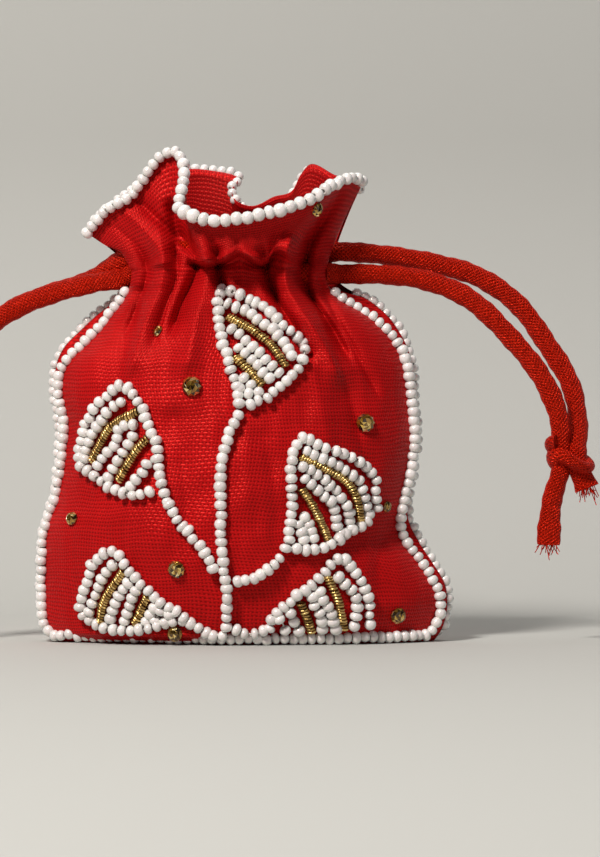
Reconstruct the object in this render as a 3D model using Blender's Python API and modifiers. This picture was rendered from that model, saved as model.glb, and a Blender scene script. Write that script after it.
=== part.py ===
"""Potli bag: a small drawstring pouch of red woven silk with beaded edges and a beaded branch.

Metres, +Z up. The front faces -Y and the bag stands on its flat underside at z = 0.
Shapes are worked out in millimetres about the plane of the side seams (y = 0) and then
moved by FRAME_SHIFT, which puts the origin under the centre of the finished bag.
"""

from math import cos, pi, sin

import bmesh
import bpy
from mathutils import Vector

MM = 0.001

# Driving dimensions, in millimetres.
CLOTH = 0.8                # silk and its lining, sewn as one panel
SEAM_GAP = 0.15            # from the seam plane to each panel
TOUCH = 0.3                # gap that two touching pieces keep
STRAND_R = 0.85            # radius of a sewn strand of seed beads
LOW_STRAND_Z = 1.3         # height of the strand along the lower edge
BELLY_SLANT = 1.5          # how much further out a level gap is than a square one down there
GOLD_R = 0.7               # radius of a gold satin-stitch bar
CORD_R = 1.5               # radius of the drawstring
NECK_Z = 76.5              # height at which the bag is drawn in
SLOT_LOW_Z = 71.0          # the side seams are open between these heights
SLOT_HIGH_Z = 82.0
SLOT_HALF = 3.5            # half width of that opening, front to back
CASING_CLOTH = 0.5         # inner strip that holds the drawstrings
KNOT_HALF_WIDTH = 4.3      # knot's centre to the middle of its wraps
KNOT_WRAP_R = 0.8
BASE_DEPTH = 12.5          # seam plane to the edge of the flat underside
CORD_ROOM = 0.55           # free room round the drawstrings inside the casings
SLOT_FADE = 3.0            # height over which the seam opens to the slot
HEM_SHARE = 0.98           # width of the underside's front edge against the front panel

# How finely the shapes are drawn.
COLUMNS = 24               # columns of a panel
BODY_HEIGHTS = [0.0, 2.0, 5.0, 9.0, 14.0, 20.0, 27.0, 34.0, 41.0, 48.0, 54.0, 59.0, 63.0, 67.0,
                71.0, NECK_Z]
RUFFLE_SHARES = [0.25, 0.5, 0.75, 1.0]
LEAF_STEP = 3.8            # between the rings of a tube along its route
STEM_STEP = 4.0
EDGE_STEP = 5.0
RIM_STEP = 3.4
CORD_STEP = 4.8
FRAME_SHIFT = (-0.1, 0.96, 0.0)

# Height against the left edge, the right edge and the depth of the front, body and neck.
PROFILE = [
    (0.0, -38.0, 38.5, BASE_DEPTH), (5.0, -39.5, 39.8, 15.4), (10.0, -39.6, 39.0, 17.2),
    (20.0, -39.2, 34.2, 18.5), (30.0, -37.2, 32.0, 19.0), (42.0, -36.6, 33.2, 18.0),
    (52.0, -36.8, 33.2, 16.6), (60.0, -35.0, 31.4, 14.8), (66.0, -29.6, 28.0, 12.8),
    (71.0, -24.0, 22.5, 11.4), (NECK_Z, -22.0, 18.0, 11.0),
]

# The ruffle's two rims from the left seam to the right one: x, y, z.
FRONT_RIM = [
    (-31.5, -1.2, 82.6), (-26.5, -3.4, 87.4), (-22.0, -5.0, 90.5), (-18.5, -6.0, 95.0),
    (-14.0, -7.0, 97.6), (-11.4, -9.5, 93.6), (-11.8, -12.4, 88.4), (-9.4, -14.6, 85.4),
    (-3.6, -15.6, 84.2), (4.0, -15.2, 85.6), (11.5, -13.2, 87.6), (17.0, -10.2, 90.6),
    (21.0, -6.0, 93.2), (24.0, -1.2, 92.8),
]
BACK_RIM = [
    (-31.5, 1.2, 82.6), (-27.0, 6.0, 88.0), (-20.0, 10.4, 93.4), (-12.0, 12.4, 96.2),
    (-5.0, 12.0, 95.4), (-1.4, 10.4, 91.8), (1.2, 9.6, 89.2), (6.0, 10.0, 90.8),
    (10.0, 10.8, 93.2), (13.4, 10.0, 96.6), (18.4, 6.8, 94.6), (24.0, 1.2, 92.8),
]

# Each leaf of the beaded branch: strand name, kind and route (x, z) over the front panel.
LEAVES = {
    "leaf_top": {
        "outline": [(-0.8, 48.2), (-2.6, 56.2), (-5.6, 66.0), (-4.4, 70.6), (3.0, 67.8),
                    (9.6, 62.4), (12.2, 57.4), (8.4, 51.8), (3.2, 48.4)],
        "outer_row": [(-2.8, 67.2), (2.2, 65.2), (6.6, 61.8), (9.4, 57.8)],
        "gold_upper": [(-2.6, 64.8), (2.2, 62.2), (6.0, 58.8), (8.4, 54.8)],
        "row_upper": [(-2.0, 62.2), (2.6, 59.0), (6.4, 55.2)],
        "row_lower": [(-0.6, 58.6), (2.2, 56.0), (4.6, 53.0)],
        "gold_lower": [(-1.2, 56.4), (1.4, 54.0), (3.2, 51.4)],
        "tip_fill": [(0.2, 52.6), (1.2, 50.4)],
    },
    "leaf_left": {
        "outline": [(-15.0, 29.2), (-16.4, 37.2), (-20.2, 47.4), (-22.6, 51.0), (-27.4, 48.6),
                    (-31.2, 42.4), (-32.2, 37.0), (-29.0, 33.2), (-23.6, 30.0), (-18.6, 29.4)],
        "outer_row": [(-23.6, 48.4), (-26.8, 46.0), (-29.4, 41.6), (-30.8, 37.2)],
        "gold_upper": [(-20.8, 46.4), (-25.0, 44.0), (-27.6, 40.8), (-29.0, 36.8)],
        "row_upper": [(-21.4, 43.6), (-24.6, 41.2), (-27.2, 37.4), (-27.8, 35.2)],
        "row_middle": [(-20.6, 41.6), (-23.4, 37.8), (-25.4, 33.4)],
        "gold_lower": [(-18.8, 40.4), (-21.4, 37.2), (-23.6, 32.8)],
        "row_lower": [(-18.8, 36.0), (-20.4, 33.2), (-21.6, 31.6)],
    },
    "leaf_right": {
        "outline": [(8.6, 19.8), (9.4, 29.0), (9.6, 37.0), (12.4, 41.2), (18.4, 39.0),
                    (24.4, 34.8), (26.2, 28.6), (23.4, 23.8), (17.8, 20.0), (10.8, 18.9)],
        "outer_row": [(12.4, 38.6), (17.6, 36.4), (21.9, 32.8), (23.4, 29.4), (23.3, 27.2)],
        "gold_upper": [(11.4, 37.0), (16.6, 34.6), (20.2, 31.4), (21.4, 28.2), (21.1, 25.0)],
        "row_upper": [(11.4, 35.2), (16.4, 32.0), (19.2, 28.4), (19.3, 23.6)],
        "row_middle": [(11.8, 32.8), (15.6, 29.0), (17.4, 25.4), (17.4, 22.6)],
        "gold_lower": [(11.4, 30.4), (14.4, 26.6), (16.4, 21.6)],
        "row_lower": [(12.0, 26.0), (13.4, 23.0), (14.0, 21.2)],
    },
    "leaf_low_left": {
        "outline": [(-14.6, 7.2), (-19.6, 11.8), (-23.4, 17.0), (-25.2, 19.0), (-29.2, 16.6),
                    (-31.2, 11.0), (-32.0, 6.8), (-29.4, 4.4), (-22.4, 3.9), (-16.4, 4.2)],
        "outer_row": [(-25.6, 16.4), (-27.8, 13.0), (-29.4, 9.2), (-30.0, 6.0)],
        "gold_upper": [(-24.0, 14.8), (-26.4, 10.2), (-27.8, 5.2)],
        "row_upper": [(-22.6, 12.8), (-24.6, 8.8), (-25.6, 5.0)],
        "row_middle": [(-20.8, 11.0), (-22.4, 8.0), (-23.4, 5.0)],
        "gold_lower": [(-19.0, 9.6), (-20.3, 6.9), (-20.9, 5.6)],
        "row_lower": [(-17.4, 7.6), (-18.6, 5.6)],
    },
    "leaf_low_right": {
        "outline": [(4.8, 4.4), (7.2, 7.4), (11.8, 10.6), (16.4, 15.0), (19.2, 17.4),
                    (22.6, 13.8), (24.8, 9.0), (25.0, 3.9)],
        "outer_row": [(18.6, 13.8), (21.2, 10.8), (22.4, 7.4), (22.2, 4.0)],
        "gold_upper": [(16.8, 13.0), (18.8, 9.0), (20.0, 3.8)],
        "row_upper": [(15.2, 11.0), (17.2, 7.8), (18.0, 3.8)],
        "row_middle": [(13.6, 9.6), (15.0, 6.4), (15.8, 3.8)],
        "gold_lower": [(11.4, 8.2), (12.8, 5.6), (13.6, 3.8)],
        "row_lower": [(9.4, 6.6), (10.8, 4.2)],
    },
}

STEMS = {
    "stem": [(-1.4, 45.6), (-2.6, 42.0), (-3.8, 35.8), (-4.2, 28.0), (-4.0, 19.0), (-3.0, 9.0),
             (-3.0, 5.0), (0.6, 4.0), (3.2, 4.0)],
    "branch_left": [(-14.4, 26.8), (-11.6, 22.4), (-7.8, 19.2), (-6.2, 16.4)],
    "branch_right": [(-1.0, 13.2), (2.8, 14.0), (6.2, 16.2), (7.6, 18.0)],
    "branch_low_left": [(-13.2, 5.8), (-9.6, 4.5), (-6.0, 4.0)],
}

# Stones: x, z and radius over the front panel.
STONES = {
    "stone_shoulder": (-16.8, 62.4, 1.3),
    "stone_centre": (-10.0, 51.4, 2.0),
    "stone_right": (24.4, 44.2, 1.9),
    "stone_left": (-34.2, 25.0, 1.4),
    "stone_middle": (-13.0, 15.2, 1.8),
    "stone_side": (28.9, 27.4, 1.2),
    "stone_low": (-11.0, 7.4, 1.2),
    "stone_corner": (31.0, 5.6, 1.7),
}

# The drawstrings' routes outside the neck: x, y, z.
RIGHT_LOWER = [
    (16.0, -3.2, 74.4), (19.6, -0.5, 74.4), (27.0, -1.6, 74.3), (36.0, -3.0, 73.2), (45.0, -4.0, 69.6),
    (54.0, -4.6, 61.2), (60.6, -4.6, 52.6), (63.8, -3.8, 44.6), (64.2, -3.2, 38.8),
]
RIGHT_UPPER = [
    (16.0, 3.2, 79.0), (19.6, 0.5, 79.0), (28.0, 1.4, 78.4), (38.0, 2.2, 76.8), (47.6, 2.4, 74.0),
    (55.6, 2.0, 68.4), (61.6, 1.2, 60.2), (66.4, 0.4, 51.8), (67.8, -0.8, 43.6), (67.4, -2.4, 38.8),
]
RIGHT_LONG_TAIL = [(64.1, -3.1, 35.0), (62.4, -3.2, 29.0), (61.8, -3.0, 24.0), (61.6, -3.0, 19.6)]
RIGHT_SHORT_TAIL = [(67.5, -2.5, 35.0), (68.6, -2.4, 33.0), (69.4, -2.6, 31.0)]
LEFT_LOWER = [
    (-19.4, -3.0, 77.4), (-23.6, -0.3, 73.9), (-30.0, -1.5, 72.6), (-38.0, -2.0, 70.6), (-46.0, -2.6, 67.4),
    (-53.0, -3.0, 62.4), (-58.0, -3.0, 54.6), (-59.6, -2.8, 46.0), (-59.5, -2.6, 38.8),
]
LEFT_UPPER = [
    (-19.4, 3.0, 75.2), (-23.6, 0.3, 77.6), (-27.2, 1.7, 75.8), (-31.0, 2.3, 73.4), (-38.0, 2.4, 71.0),
    (-46.0, 2.0, 67.8), (-53.0, 1.8, 62.8), (-58.4, 1.4, 55.0), (-61.4, 0.4, 46.6), (-62.8, -1.9, 38.8),
]
LEFT_LONG_TAIL = [(-59.6, -2.6, 35.0), (-60.6, -2.6, 29.0), (-61.0, -2.8, 24.0), (-61.2, -3.0, 19.6)]
LEFT_SHORT_TAIL = [(-62.9, -1.9, 35.0), (-64.6, -1.8, 33.0), (-65.4, -2.2, 31.0)]

# Each knot's centre and its turn about Z.
KNOTS = {
    "knot_right": ((65.8, -2.8, 36.9), 0.21),
    "knot_left": ((-61.2, -2.25, 36.9), -0.21),
}

COLOURS = {
    "cloth": ((0.30, 0.006, 0.010), 0.55, 0.0),
    "cord": ((0.52, 0.010, 0.008), 0.40, 0.0),
    "bead": ((0.70, 0.70, 0.67), 0.25, 0.0),
    "gold": ((0.50, 0.30, 0.09), 0.35, 0.8),
    "stone": ((0.60, 0.40, 0.08), 0.10, 0.6),
}


def catmull_rom(points, t):
    """Point at t (0 to 1) of the smooth curve through the points, each a tuple of numbers."""
    last = len(points) - 1
    place = min(max(t, 0.0), 1.0) * last
    i = min(int(place), last - 1)
    s = place - i
    p0, p1, p2, p3 = (points[min(max(i + k, 0), last)] for k in (-1, 0, 1, 2))
    return tuple(
        0.5 * (2 * b + (c - a) * s + (2 * a - 5 * b + 4 * c - d) * s * s
               + (3 * b - a - 3 * c + d) * s ** 3)
        for a, b, c, d in zip(p0, p1, p2, p3)
    )


def smooth_route(points, step):
    """Points about one step apart on the smooth curve through the route's own points."""
    samples = 30 * (len(points) - 1)
    fine = [Vector(catmull_rom(points, k / samples)) for k in range(samples + 1)]
    lengths = [0.0]
    for a, b in zip(fine, fine[1:]):
        lengths.append(lengths[-1] + (b - a).length)
    count = max(2, round(lengths[-1] / step))
    picked = []
    k = 0
    for n in range(count + 1):
        target = lengths[-1] * n / count
        while k < samples and lengths[k] < target - 1e-6:
            k += 1
        picked.append(fine[k])
    return picked


def profile_at(z):
    """Left edge, right edge and front depth of the body at height z."""
    z = min(max(z, PROFILE[0][0]), PROFILE[-1][0])
    for i, (low, high) in enumerate(zip(PROFILE, PROFILE[1:])):
        if z <= high[0]:
            t = (i + (z - low[0]) / (high[0] - low[0])) / (len(PROFILE) - 1)
            return catmull_rom(PROFILE, t)[1:]
    return PROFILE[-1][1:]


def seam_offset(z):
    """Seam plane to a panel's outer face at its edge: wider where the cords come out."""
    closed = CLOTH + SEAM_GAP
    if z <= SLOT_LOW_Z - SLOT_FADE or z >= SLOT_HIGH_Z + SLOT_FADE:
        return closed
    if SLOT_LOW_Z <= z <= SLOT_HIGH_Z:
        return SLOT_HALF
    share = min(abs(z - SLOT_LOW_Z), abs(z - SLOT_HIGH_Z)) / SLOT_FADE
    return SLOT_HALF + (closed - SLOT_HALF) * share


def plumpness(u, z):
    """Share of the full depth at u, from -1 at the left seam to 1 at the right seam."""
    pinch = 0.72 if z < 60 else 0.72 - 0.24 * min((z - 60) / 14, 1.0)
    return max(1.0 - u * u, 0.0) ** pinch


def body_depth(x, z, side_gap=None):
    """Distance from the seam plane to the outer face of either panel at (x, z)."""
    left, right, depth = profile_at(z)
    middle, half = (left + right) / 2, (right - left) / 2
    u = min(max((x - middle) / half, -1.0), 1.0)
    edge = seam_offset(z) if side_gap is None else side_gap
    return edge + (depth - edge) * plumpness(u, z)


def column_places():
    """Places across a panel, closer together near the seams."""
    return [sin(pi / 2 * (2 * k / COLUMNS - 1)) * 0.55 + (2 * k / COLUMNS - 1) * 0.45
            for k in range(COLUMNS + 1)]


def body_point(u, z, side):
    """Point of a panel's outer face; side is -1 for the front and 1 for the back."""
    left, right, _ = profile_at(z)
    x = (left + right) / 2 + u * (right - left) / 2
    return (x, side * body_depth(x, z), z)


def ruffle_point(u, v, side):
    """Point of the ruffle, from the neck (v = 0) out to the rim (v = 1)."""
    rim = catmull_rom(FRONT_RIM if side < 0 else BACK_RIM, (u + 1) / 2)
    neck = body_point(u, NECK_Z, side)
    swell = sin(pi * v) * (1.0 - u ** 4)
    x = neck[0] + (rim[0] - neck[0]) * v ** 0.8
    z = neck[2] + (rim[2] - neck[2]) * v
    y = neck[1] + (rim[1] - neck[1]) * v + side * 1.2 * swell
    least = seam_offset(z)
    return (x, side * max(side * y, least), z)


def new_material(name, kind):
    colour, roughness, metallic = COLOURS[kind]
    material = bpy.data.materials.new(name)
    material.use_nodes = True
    shader = material.node_tree.nodes["Principled BSDF"]
    shader.inputs["Base Color"].default_value = (*colour, 1.0)
    shader.inputs["Roughness"].default_value = roughness
    shader.inputs["Metallic"].default_value = metallic
    material.diffuse_color = (*colour, 1.0)
    return material


def place(obj, kind, collection, parent):
    """Give the object its material, its collection and the bag's frame."""
    obj.data.materials.append(new_material(obj.name + "_material", kind))
    collection.objects.link(obj)
    obj.parent = parent
    return obj


def add_sheet(name, rows, thickness, kind, collection, parent):
    """A shell from rows of surface points, with its outer side out and its cloth inside."""
    mesh = bpy.data.meshes.new(name)
    bm = bmesh.new()
    verts = [[bm.verts.new(Vector(p) * MM) for p in row] for row in rows]
    for low, high in zip(verts, verts[1:]):
        for k in range(len(low) - 1):
            bm.faces.new((low[k], low[k + 1], high[k + 1], high[k]))
    bm.to_mesh(mesh)
    bm.free()
    mesh.shade_smooth()
    obj = bpy.data.objects.new(name, mesh)
    shell = obj.modifiers.new("cloth", "SOLIDIFY")
    shell.thickness = thickness * MM
    shell.offset = -1.0
    return place(obj, kind, collection, parent)


def add_tube(name, points, radius, kind, collection, parent, resolution=1):
    """A round tube with filled caps along the points."""
    curve = bpy.data.curves.new(name, "CURVE")
    curve.dimensions = "3D"
    curve.bevel_depth = radius * MM
    curve.bevel_resolution = resolution
    curve.use_fill_caps = True
    curve.render_resolution_u = 0
    spline = curve.splines.new("POLY")
    spline.points.add(len(points) - 1)
    for point, place_on in zip(spline.points, points):
        point.co = (*(Vector(place_on) * MM), 1.0)
    return place(bpy.data.objects.new(name, curve), kind, collection, parent)


def add_front_panel(collection, parent):
    places = column_places()
    rows = [[body_point(u, z, -1) for u in places] for z in BODY_HEIGHTS]
    rows += [[ruffle_point(u, v, -1) for u in places] for v in RUFFLE_SHARES]
    add_sheet("front_panel", rows, CLOTH, "cloth", collection, parent)


def add_back_panel(collection, parent):
    """The back panel also wraps under the bag as its flat underside."""
    places = column_places()
    front_edge = [(x * HEM_SHARE, y + CLOTH + 2 * TOUCH, 0.0)
                  for x, y, _ in (body_point(u, 0.0, -1) for u in places)]
    back_edge = [body_point(u, 0.0, 1) for u in places]
    rows = []
    for share in (0.0, 0.35, 0.7):
        rows.append([(f[0], f[1] + (b[1] - CLOTH * 0.6 - f[1]) * share, 0.0)
                     for f, b in zip(front_edge, back_edge)])
    rows += [[body_point(u, z, 1) for u in places] for z in BODY_HEIGHTS]
    rows += [[ruffle_point(u, v, 1) for u in places] for v in RUFFLE_SHARES]
    rows = [row[::-1] for row in rows]
    add_sheet("back_panel", rows, CLOTH, "cloth", collection, parent)


def add_casing(name, side, collection, parent):
    """The strip inside the neck that, with the panel, holds both drawstrings."""
    inset = CLOTH + 2 * CORD_R + 2 * CORD_ROOM
    places = [0.12 * (k - 4) for k in range(9)]
    rows = []
    for z in (SLOT_LOW_Z, 74.0, 77.0, 80.0, SLOT_HIGH_Z):
        row = []
        for u in places:
            x, y, _ = body_point(u, min(z, NECK_Z), side)
            row.append((x, y - side * inset, z))
        rows.append(row if side < 0 else row[::-1])
    add_sheet(name, rows, CASING_CLOTH, "cloth", collection, parent)


def lifted(x, z, distance, side=-1):
    """The point at a distance from a panel's outer face at (x, z), along its normal."""
    step = 0.4
    low, high = max(z - step, 0.0), z + step
    slope_x = (body_depth(x + step, z) - body_depth(x - step, z)) / (2 * step)
    slope_z = (body_depth(x, high) - body_depth(x, low)) / (high - low)
    normal = Vector((-slope_x, side, -slope_z)).normalized()
    return Vector((x, side * body_depth(x, z), z)) + normal * distance


def on_panel(route, radius):
    """A route of (x, z) lifted off the front panel by the radius and a touching gap."""
    return [lifted(x, z, radius + TOUCH) for x, z in route]


def add_beadwork(collection, parent):
    for leaf, strands in LEAVES.items():
        for strand, route in strands.items():
            gold = strand.startswith("gold")
            radius = GOLD_R if gold else STRAND_R
            points = on_panel(smooth_route(route, LEAF_STEP), radius)
            add_tube(leaf + "_" + strand, points, radius, "gold" if gold else "bead",
                     collection, parent)
    for name, route in STEMS.items():
        points = on_panel(smooth_route(route, STEM_STEP), STRAND_R)
        add_tube(name, points, STRAND_R, "bead", collection, parent)


def seam_normal(z, column):
    """Outward direction, in the plane of the seams, of the left (0) or right (1) edge at z."""
    step = 0.5
    low, high = profile_at(z - step)[column], profile_at(z + step)[column]
    outward = Vector((2 * step, low - high)).normalized()
    return outward if column else -outward


def edge_route(side):
    """Down the left seam, along the lower edge and up the right seam, just off the panel."""
    heights = [67.5, 62.0, 55.0, 48.0, 41.0, 34.0, 27.0, 20.0, 13.0, 7.0, 3.6]
    seams = []
    for column in (0, 1):
        run = []
        for z in heights:
            out = seam_normal(z, column) * (STRAND_R + TOUCH)
            y = side * (seam_offset(z) + STRAND_R + TOUCH)
            run.append((profile_at(z)[column] + out.x, y, z + out.y))
        seams.append(run)
    under = []
    left_x, right_x, _ = profile_at(LOW_STRAND_Z)
    for k in range(1, 10):
        x = (left_x + right_x) / 2 - (right_x - left_x) / 2 * cos(pi * k / 10)
        along = lifted(x, LOW_STRAND_Z, 1.0, side) - lifted(x, LOW_STRAND_Z, 0.0, side)
        level = Vector((along.x, along.y, 0.0)).normalized()
        point = lifted(x, LOW_STRAND_Z, 0.0, side) + level * (STRAND_R + TOUCH) * BELLY_SLANT
        under.append(tuple(point))
    return seams[0] + under + seams[1][::-1]


def rim_route(side):
    """Along the top edge of the ruffle, just past it in the plane of the cloth."""
    route = []
    for k in range(27):
        u = min(max(2 * k / 26 - 1, -0.998), 0.998)
        rim = Vector(ruffle_point(u, 1.0, side))
        along = Vector(ruffle_point(u + 0.002, 1.0, side)) - Vector(ruffle_point(u - 0.002, 1.0, side))
        out = rim - Vector(ruffle_point(u, 0.9, side))
        out -= along * (out.dot(along) / along.length_squared)
        route.append(tuple(rim + out.normalized() * (STRAND_R + 2 * TOUCH)))
    return route


def add_edging(collection, parent):
    for name, side in (("edge_beads_front", -1), ("edge_beads_back", 1)):
        add_tube(name, smooth_route(edge_route(side), EDGE_STEP), STRAND_R, "bead", collection, parent)
    for name, side in (("rim_beads_front", -1), ("rim_beads_back", 1)):
        add_tube(name, smooth_route(rim_route(side), RIM_STEP), STRAND_R, "bead", collection, parent)


def add_stone(name, x, z, radius, collection, parent):
    """A flat-backed faceted stone: a wide girdle under a low crown with a flat table."""
    base = lifted(x, z, TOUCH)
    above = lifted(x, z, 2 * TOUCH)
    mesh = bpy.data.meshes.new(name)
    bm = bmesh.new()
    girdle = radius * 0.35
    crown = radius * 0.45
    bmesh.ops.create_cone(bm, cap_ends=True, segments=10, radius1=radius * MM,
                          radius2=radius * 0.55 * MM, depth=(girdle + crown) * MM)
    bmesh.ops.translate(bm, verts=bm.verts, vec=(0.0, 0.0, (girdle + crown) / 2 * MM))
    bm.to_mesh(mesh)
    bm.free()
    obj = bpy.data.objects.new(name, mesh)
    place(obj, "stone", collection, parent)
    outward = (above - base).normalized()
    obj.rotation_euler = outward.to_track_quat("Z", "Y").to_euler()
    obj.location = base * MM
    return obj


def inside_neck(side, z, left_x, right_x):
    """The run of a cord in one casing, between the panel and its inner strip."""
    inset = CLOTH + CORD_ROOM + CORD_R
    route = []
    for k in range(6):
        x = left_x + (right_x - left_x) * k / 5
        route.append((x, side * (body_depth(x, min(z, NECK_Z)) - inset), z))
    return route


def add_drawstrings(collection, parent):
    """Each cord goes in at its own side, round the far seam in both casings and out again."""
    right = (RIGHT_LONG_TAIL[::-1] + RIGHT_LOWER[::-1]
             + inside_neck(-1, 74.4, 12.0, -13.0) + [(-16.4, 0.0, 76.7)]
             + inside_neck(1, 79.0, -13.0, 12.0) + RIGHT_UPPER + RIGHT_SHORT_TAIL)
    left = (LEFT_LONG_TAIL[::-1] + LEFT_LOWER[::-1]
            + inside_neck(-1, 78.9, -16.0, 9.0) + [(12.6, 0.0, 76.7)]
            + inside_neck(1, 74.5, 9.0, -16.0) + LEFT_UPPER + LEFT_SHORT_TAIL)
    for name, route in (("drawstring_right", right), ("drawstring_left", left)):
        add_tube(name, smooth_route(route, CORD_STEP), CORD_R, "cord", collection, parent, resolution=2)


def add_knot(name, centre, turn, collection, parent):
    """The wraps of the knot: an oval ring round both strands of a drawstring."""
    bpy.ops.mesh.primitive_torus_add(major_segments=16, minor_segments=8,
                                     major_radius=KNOT_HALF_WIDTH * MM,
                                     minor_radius=KNOT_WRAP_R * MM)
    obj = bpy.context.object
    obj.name = name
    obj.data.name = name
    for owner in list(obj.users_collection):
        owner.objects.unlink(obj)
    obj.data.shade_smooth()
    obj.location = [c * MM for c in centre]
    obj.rotation_euler = (0.0, 0.0, turn)
    obj.scale = (1.0, 0.68, 2.4)
    return place(obj, "cord", collection, parent)


def main():
    for obj in list(bpy.data.objects):
        bpy.data.objects.remove(obj)
    collection = bpy.data.collections.new("potli_bag")
    bpy.context.scene.collection.children.link(collection)
    frame = bpy.data.objects.new("bag_frame", None)
    frame.location = [s * MM for s in FRAME_SHIFT]
    collection.objects.link(frame)

    add_front_panel(collection, frame)
    add_back_panel(collection, frame)
    add_casing("casing_front", -1, collection, frame)
    add_casing("casing_back", 1, collection, frame)
    add_beadwork(collection, frame)
    add_edging(collection, frame)
    for name, (x, z, radius) in STONES.items():
        add_stone(name, x, z, radius, collection, frame)
    add_drawstrings(collection, frame)
    for name, (centre, turn) in KNOTS.items():
        add_knot(name, centre, turn, collection, frame)


main()
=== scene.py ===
"""Looks of the potli bag: woven red silk, gathered neck and ruffle, pearl seed beads, gold
coils, flat-back stones and satin drawstrings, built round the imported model.

Shapes are numpy surfaces in millimetres about the plane of the side seams (y = 0, front at
-y). FRAME_SHIFT then moves them into the model's frame, and meshes are stored in metres.
"""

import bpy
import numpy as np
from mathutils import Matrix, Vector

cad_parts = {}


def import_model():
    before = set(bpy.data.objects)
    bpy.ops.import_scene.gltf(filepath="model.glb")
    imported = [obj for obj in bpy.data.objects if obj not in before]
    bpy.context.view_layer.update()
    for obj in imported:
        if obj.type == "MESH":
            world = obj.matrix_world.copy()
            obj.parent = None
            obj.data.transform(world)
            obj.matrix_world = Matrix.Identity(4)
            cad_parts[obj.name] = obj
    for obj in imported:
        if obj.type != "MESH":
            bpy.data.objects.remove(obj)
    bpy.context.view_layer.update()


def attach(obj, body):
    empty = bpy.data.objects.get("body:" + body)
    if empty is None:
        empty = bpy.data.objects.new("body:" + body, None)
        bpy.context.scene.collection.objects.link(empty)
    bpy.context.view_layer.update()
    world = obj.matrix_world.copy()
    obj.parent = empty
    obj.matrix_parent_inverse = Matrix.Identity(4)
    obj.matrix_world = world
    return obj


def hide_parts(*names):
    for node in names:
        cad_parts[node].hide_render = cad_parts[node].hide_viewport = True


MM = 0.001
FRAME_SHIFT = np.array([-0.1, 0.96, 0.0])
RNG = np.random.default_rng(7)

# ---------------------------------------------------------------- sizes, in millimetres
BEAD_R = 1.24              # seed bead, across its hole
BEAD_PITCH = 1.74          # bead to bead along a thread
THREAD_R = 0.16
COIL_R = 1.0               # coil of gold wire
COIL_PITCH = 0.56
CORD_WIDE = 4.4            # satin cord, flat section
CORD_THICK = 2.7
WARP = 0.62                # thread spacing of the silk
WEFT = 0.76
NECK_Z = 75.0
LINING_IN = 0.9            # lining behind the silk
TOP_V = 104.0              # cloth height from the lower seam to the rim

# ---------------------------------------------------------------- outlines
# z, left edge, right edge: the front panel's own outline, along its row of edge beads.
FRONT_OUTLINE = np.array([
    (0.0, -38.2, 36.8), (2.0, -39.6, 38.0), (4.5, -40.5, 38.8), (8.0, -40.8, 39.7),
    (12.0, -40.8, 38.6), (16.0, -40.7, 35.9), (20.0, -40.5, 32.8), (24.0, -39.9, 31.4),
    (28.0, -38.4, 32.2), (33.0, -37.3, 33.2), (40.0, -36.4, 34.4), (44.0, -36.1, 34.3),
    (48.0, -37.0, 33.8), (53.0, -37.3, 33.3), (57.0, -35.6, 32.6), (60.0, -32.6, 31.2),
    (63.0, -29.6, 28.9), (66.0, -27.2, 25.4), (69.0, -24.8, 20.2), (72.0, -23.0, 17.2),
    (75.0, -22.6, 16.8),
])
BACK_OUTLINE = np.array([
    (0.0, -38.6, 38.6), (2.0, -39.9, 40.0), (4.5, -40.9, 40.9), (8.0, -41.2, 41.3),
    (12.0, -41.2, 40.6), (16.0, -41.0, 38.2), (20.0, -40.8, 35.6), (24.0, -40.3, 33.6),
    (28.0, -38.9, 33.1), (33.0, -38.0, 33.9), (40.0, -37.3, 35.0), (44.0, -37.2, 34.9),
    (48.0, -38.1, 34.5), (53.0, -38.4, 34.4), (57.0, -37.8, 33.9), (60.0, -36.2, 33.0),
    (63.0, -33.2, 31.4), (66.0, -30.0, 29.2), (69.0, -26.4, 25.6), (72.0, -23.6, 20.4),
    (75.0, -22.8, 17.6),
])
# z, depth of the belly from the seam plane to the middle of a panel.
DEPTH = np.array([
    (0.0, 11.6), (1.5, 13.6), (4.0, 15.2), (8.0, 16.6), (14.0, 17.8), (20.0, 18.5),
    (30.0, 18.9), (42.0, 17.9), (52.0, 16.5), (60.0, 14.7), (66.0, 12.8), (71.0, 11.4),
    (75.0, 11.0),
])
# Share across the panel, x, y, z: the ruffle's two rims from the left seam to the right.
FRONT_RIM = np.array([
    (-1.00, -31.6, -1.0, 82.6), (-0.88, -27.4, -3.2, 86.9), (-0.78, -22.8, -4.2, 89.8),
    (-0.67, -19.6, -4.6, 94.2), (-0.56, -16.4, -5.0, 97.6), (-0.47, -13.2, -6.2, 98.4),
    (-0.40, -11.7, -8.6, 94.8), (-0.34, -12.2, -11.2, 90.6), (-0.27, -12.7, -13.4, 87.2),
    (-0.18, -9.8, -15.4, 85.0), (0.00, -4.0, -16.6, 84.2), (0.20, 2.6, -16.6, 85.1),
    (0.40, 9.4, -15.2, 87.0), (0.58, 14.6, -12.8, 89.2), (0.74, 18.6, -9.4, 92.0),
    (0.87, 21.6, -5.2, 93.5), (1.00, 24.2, -1.2, 92.9),
])
BACK_RIM = np.array([
    (-1.00, -31.6, 1.0, 82.8), (-0.85, -28.6, 4.6, 87.0), (-0.66, -21.6, 9.4, 92.6),
    (-0.42, -13.6, 12.0, 96.2), (-0.22, -7.0, 12.2, 96.2), (-0.09, -1.4, 11.0, 94.6),
    (0.00, -2.6, 8.2, 91.9), (0.08, -1.6, 6.6, 89.6), (0.18, 1.6, 7.4, 88.6),
    (0.34, 6.0, 9.2, 90.6), (0.50, 9.8, 10.6, 92.0), (0.60, 11.6, 11.0, 95.4),
    (0.68, 13.6, 10.4, 97.4), (0.84, 18.8, 6.8, 94.8), (1.00, 24.2, 1.2, 93.1),
])

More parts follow.
